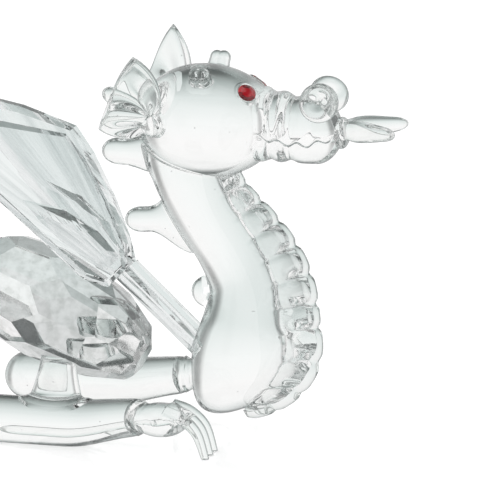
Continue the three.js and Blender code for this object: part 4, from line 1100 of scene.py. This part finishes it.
clear_glass = glass("clear_glass", True, GLASS_INDEX, CLEAR_EDGE_SHADE, DRAWN_WAVE, bubble_tones)
crest_glass = glass("crest_glass", True, CREST_INDEX, CREST_EDGE_SHADE, DRAWN_WAVE, None, CREST_ROUGHNESS)
cut_crystal = glass("cut_crystal", False, CUT_INDEX, CUT_EDGE_SHADE, CUT_WAVE)
body_finish = glass("body_crystal", False, BODY_INDEX, BODY_EDGE_SHADE, BODY_WAVE, facet_shade_and_clouds, BODY_ROUGHNESS)
wing_finish = glass("wing_crystal", False, CUT_INDEX, CUT_EDGE_SHADE, CUT_WAVE, wing_streak_shade)
neck_glass = glass("neck_glass", True, GLASS_INDEX, CLEAR_EDGE_SHADE, DRAWN_WAVE, bubble_tones)
ease_chest(neck_glass)
red_stone = red_stone_finish()

# Pieces, with the finish of those that differ from clear glass
OWN_GLASS = {"throat_crest": crest_glass, "neck": neck_glass}


def add_piece(piece, material, slot, *nodes):
    piece.data.materials.append(material)
    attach(piece, "root")
    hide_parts(*nodes)


for name, parts in GLASS.items():
    finish = OWN_GLASS.get(name, clear_glass)
    add_piece(glass_piece(f"{name}_glass", parts), finish, "clear_glass", name)

# An eye stone's points: two rings of the back, three of the crown, then the middles of back and table
crown_points = np.repeat((0, 0, 1, 1, 1, 0, 1), (EYE_SIDES,) * 5 + (1, 1)).astype(np.float32)
for label, side in SIDES:
    bar = to_mesh(f"{label}_wing_stem_cut", *stem(side), flat=True)
    add_piece(bar, cut_crystal, "cut_crystal", f"{label}_wing_stem")
    stone = to_mesh(f"{label}_eye_stone", *eye(side), flat=True)
    crown = stone.data.attributes.new("crown", "FLOAT", "POINT")
    crown.data.foreach_set("value", crown_points)
    add_piece(stone, red_stone, "red_stone", f"{label}_eye")

# Cut stones, which are shown as the CAD solids that they are
STONES = (("body_crystal", body_finish), ("right_wing", wing_finish), ("left_wing", wing_finish))
for name, finish in STONES:
    for material_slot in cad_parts[name].material_slots:
        material_slot.material = finish

# Camera, key lamp and table: lengths in metres, the sensor in millimetres, angles in degrees
AZIMUTH, ELEVATION = 15, 14
TARGET = Vector((SHIFT_X * MM, 0, 0.0303))
DISTANCE, FIELD, SENSOR = 2.0, 0.08, 36.0
CLIP_NEAR, CLIP_FAR = 0.1, 100
KEY_PLACE, KEY_SIZE, KEY_POWER = Vector((-0.25, -0.35, 0.45)), 0.3, 1.5
TABLE_SIZE, TABLE_DROP, TABLE_ROUGHNESS, TABLE_GLOW = 30, 0.0001, 0.12, 0.35
WHITE, TABLE_WHITE = (1, 1, 1, 1), (0.9, 0.9, 0.9, 1)

# The sky's colours by elevation, the shade between four white panels and the elevations that they span
SKY = (
    (-90, (0.1, 0.11, 0.11)),
    (-60, (0.14, 0.155, 0.15)),
    (-46, (0.4, 0.45, 0.44)),
    (-30, (0.78, 0.83, 0.82)),
    (-12, (0.95, 0.965, 0.96)),
    (2, (1.0, 0.985, 0.985)),
    (34, (1.0, 0.99, 0.99)),
    (46, (0.16, 0.17, 0.17)),
    (60, (0.16, 0.17, 0.17)),
    (72, (1.1, 1.1, 1.1)),
)
PANELS = ((0.72, grey(0.42)), (0.78, grey(0.5)), (0.86, grey(1.0)))
PANEL_REACH = ((-50, grey(0.0)), (-38, grey(1.0)), (0, grey(1.0)), (12, grey(0.6)), (24, grey(0.0)))


def by_height(stops):
    """Stops by elevation, placed along a ramp from the lowest point of the sky to its highest."""
    return [(0.5 + 0.5 * sin(rad(elevation)), colour) for elevation, colour in stops]


def light_world():
    """The sky times the panels lights the glass; the camera itself sees white."""
    world = bpy.data.worlds.new("studio")
    bpy.context.scene.world = world
    world.use_nodes = True
    tree = world.node_tree
    direction = add_node(tree, "TexCoord").outputs["Generated"]
    split = add_node(tree, "SeparateXYZ", Vector=direction)
    level = math_node(tree, "MULTIPLY_ADD", split.outputs["Z"], 0.5, 0.5)
    turned = add_node(tree, "VectorRotate", Vector=direction, Angle=rad(-AZIMUTH))
    turned.rotation_type = "Z_AXIS"
    plan = add_node(tree, "SeparateXYZ", Vector=turned.outputs["Vector"])
    ways = [math_node(tree, "ABSOLUTE", plan.outputs[axis]) for axis in "XY"]
    squares = [math_node(tree, "POWER", way, 2.0) for way in ways]
    flat = math_node(tree, "SQRT", math_node(tree, "ADD", *squares))
    panel = math_node(tree, "DIVIDE", math_node(tree, "MAXIMUM", *ways), flat)
    reach, shade = ramp(tree, level, by_height(PANEL_REACH)), ramp(tree, panel, PANELS)
    sky = mix(tree, "MULTIPLY", reach, ramp(tree, level, by_height(SKY)), shade)
    light_path = add_node(tree, "LightPath")
    seen = mix(tree, "MIX", light_path.outputs["Is Camera Ray"], sky, WHITE)
    tree.links.new(seen, tree.nodes["Background"].inputs["Color"])


def add_table():
    bpy.ops.mesh.primitive_plane_add(size=TABLE_SIZE, location=(0, 0, -TABLE_DROP))
    table = bpy.context.object
    table.name = "table"
    table.visible_transmission = False
    colours = dict(Base_Color=TABLE_WHITE, Emission_Color=WHITE)
    material, tree, inputs = new_finish("table_white", Roughness=TABLE_ROUGHNESS, **colours)
    path = add_node(tree, "LightPath")
    glow = math_node(tree, "MULTIPLY", path.outputs["Is Camera Ray"], TABLE_GLOW)
    tree.links.new(glow, inputs["Emission Strength"])
    table.data.materials.append(material)


def add_key():
    lamp = bpy.data.lights.new("key", "AREA")
    lamp.shape = "DISK"
    lamp.size = KEY_SIZE
    lamp.energy = KEY_POWER
    key = add_object("key", lamp)
    key.visible_glossy = False
    key.visible_transmission = False
    key.location = TARGET + KEY_PLACE
    key.rotation_euler = (TARGET - key.location).to_track_quat("-Z", "Y").to_euler()


def add_camera():
    back = Vector((
        sin(rad(AZIMUTH)) * cos(rad(ELEVATION)),
        -cos(rad(AZIMUTH)) * cos(rad(ELEVATION)),
        sin(rad(ELEVATION)),
    ))
    lens = bpy.data.cameras.new("camera")
    lens.sensor_width = SENSOR
    lens.lens = SENSOR * DISTANCE / FIELD
    lens.clip_start, lens.clip_end = CLIP_NEAR, CLIP_FAR
    camera = add_object("camera", lens)
    camera.location = TARGET + back * DISTANCE
    camera.rotation_euler = (-back).to_track_quat("-Z", "Y").to_euler()
    bpy.context.scene.camera = camera


light_world()
add_table()
add_key()
add_camera()
scene = bpy.context.scene
scene.view_settings.view_transform = "Standard"
scene.cycles.max_bounces = 32
scene.cycles.transmission_bounces = 32
scene.cycles.glossy_bounces = 12
scene.cycles.transparent_max_bounces = 64
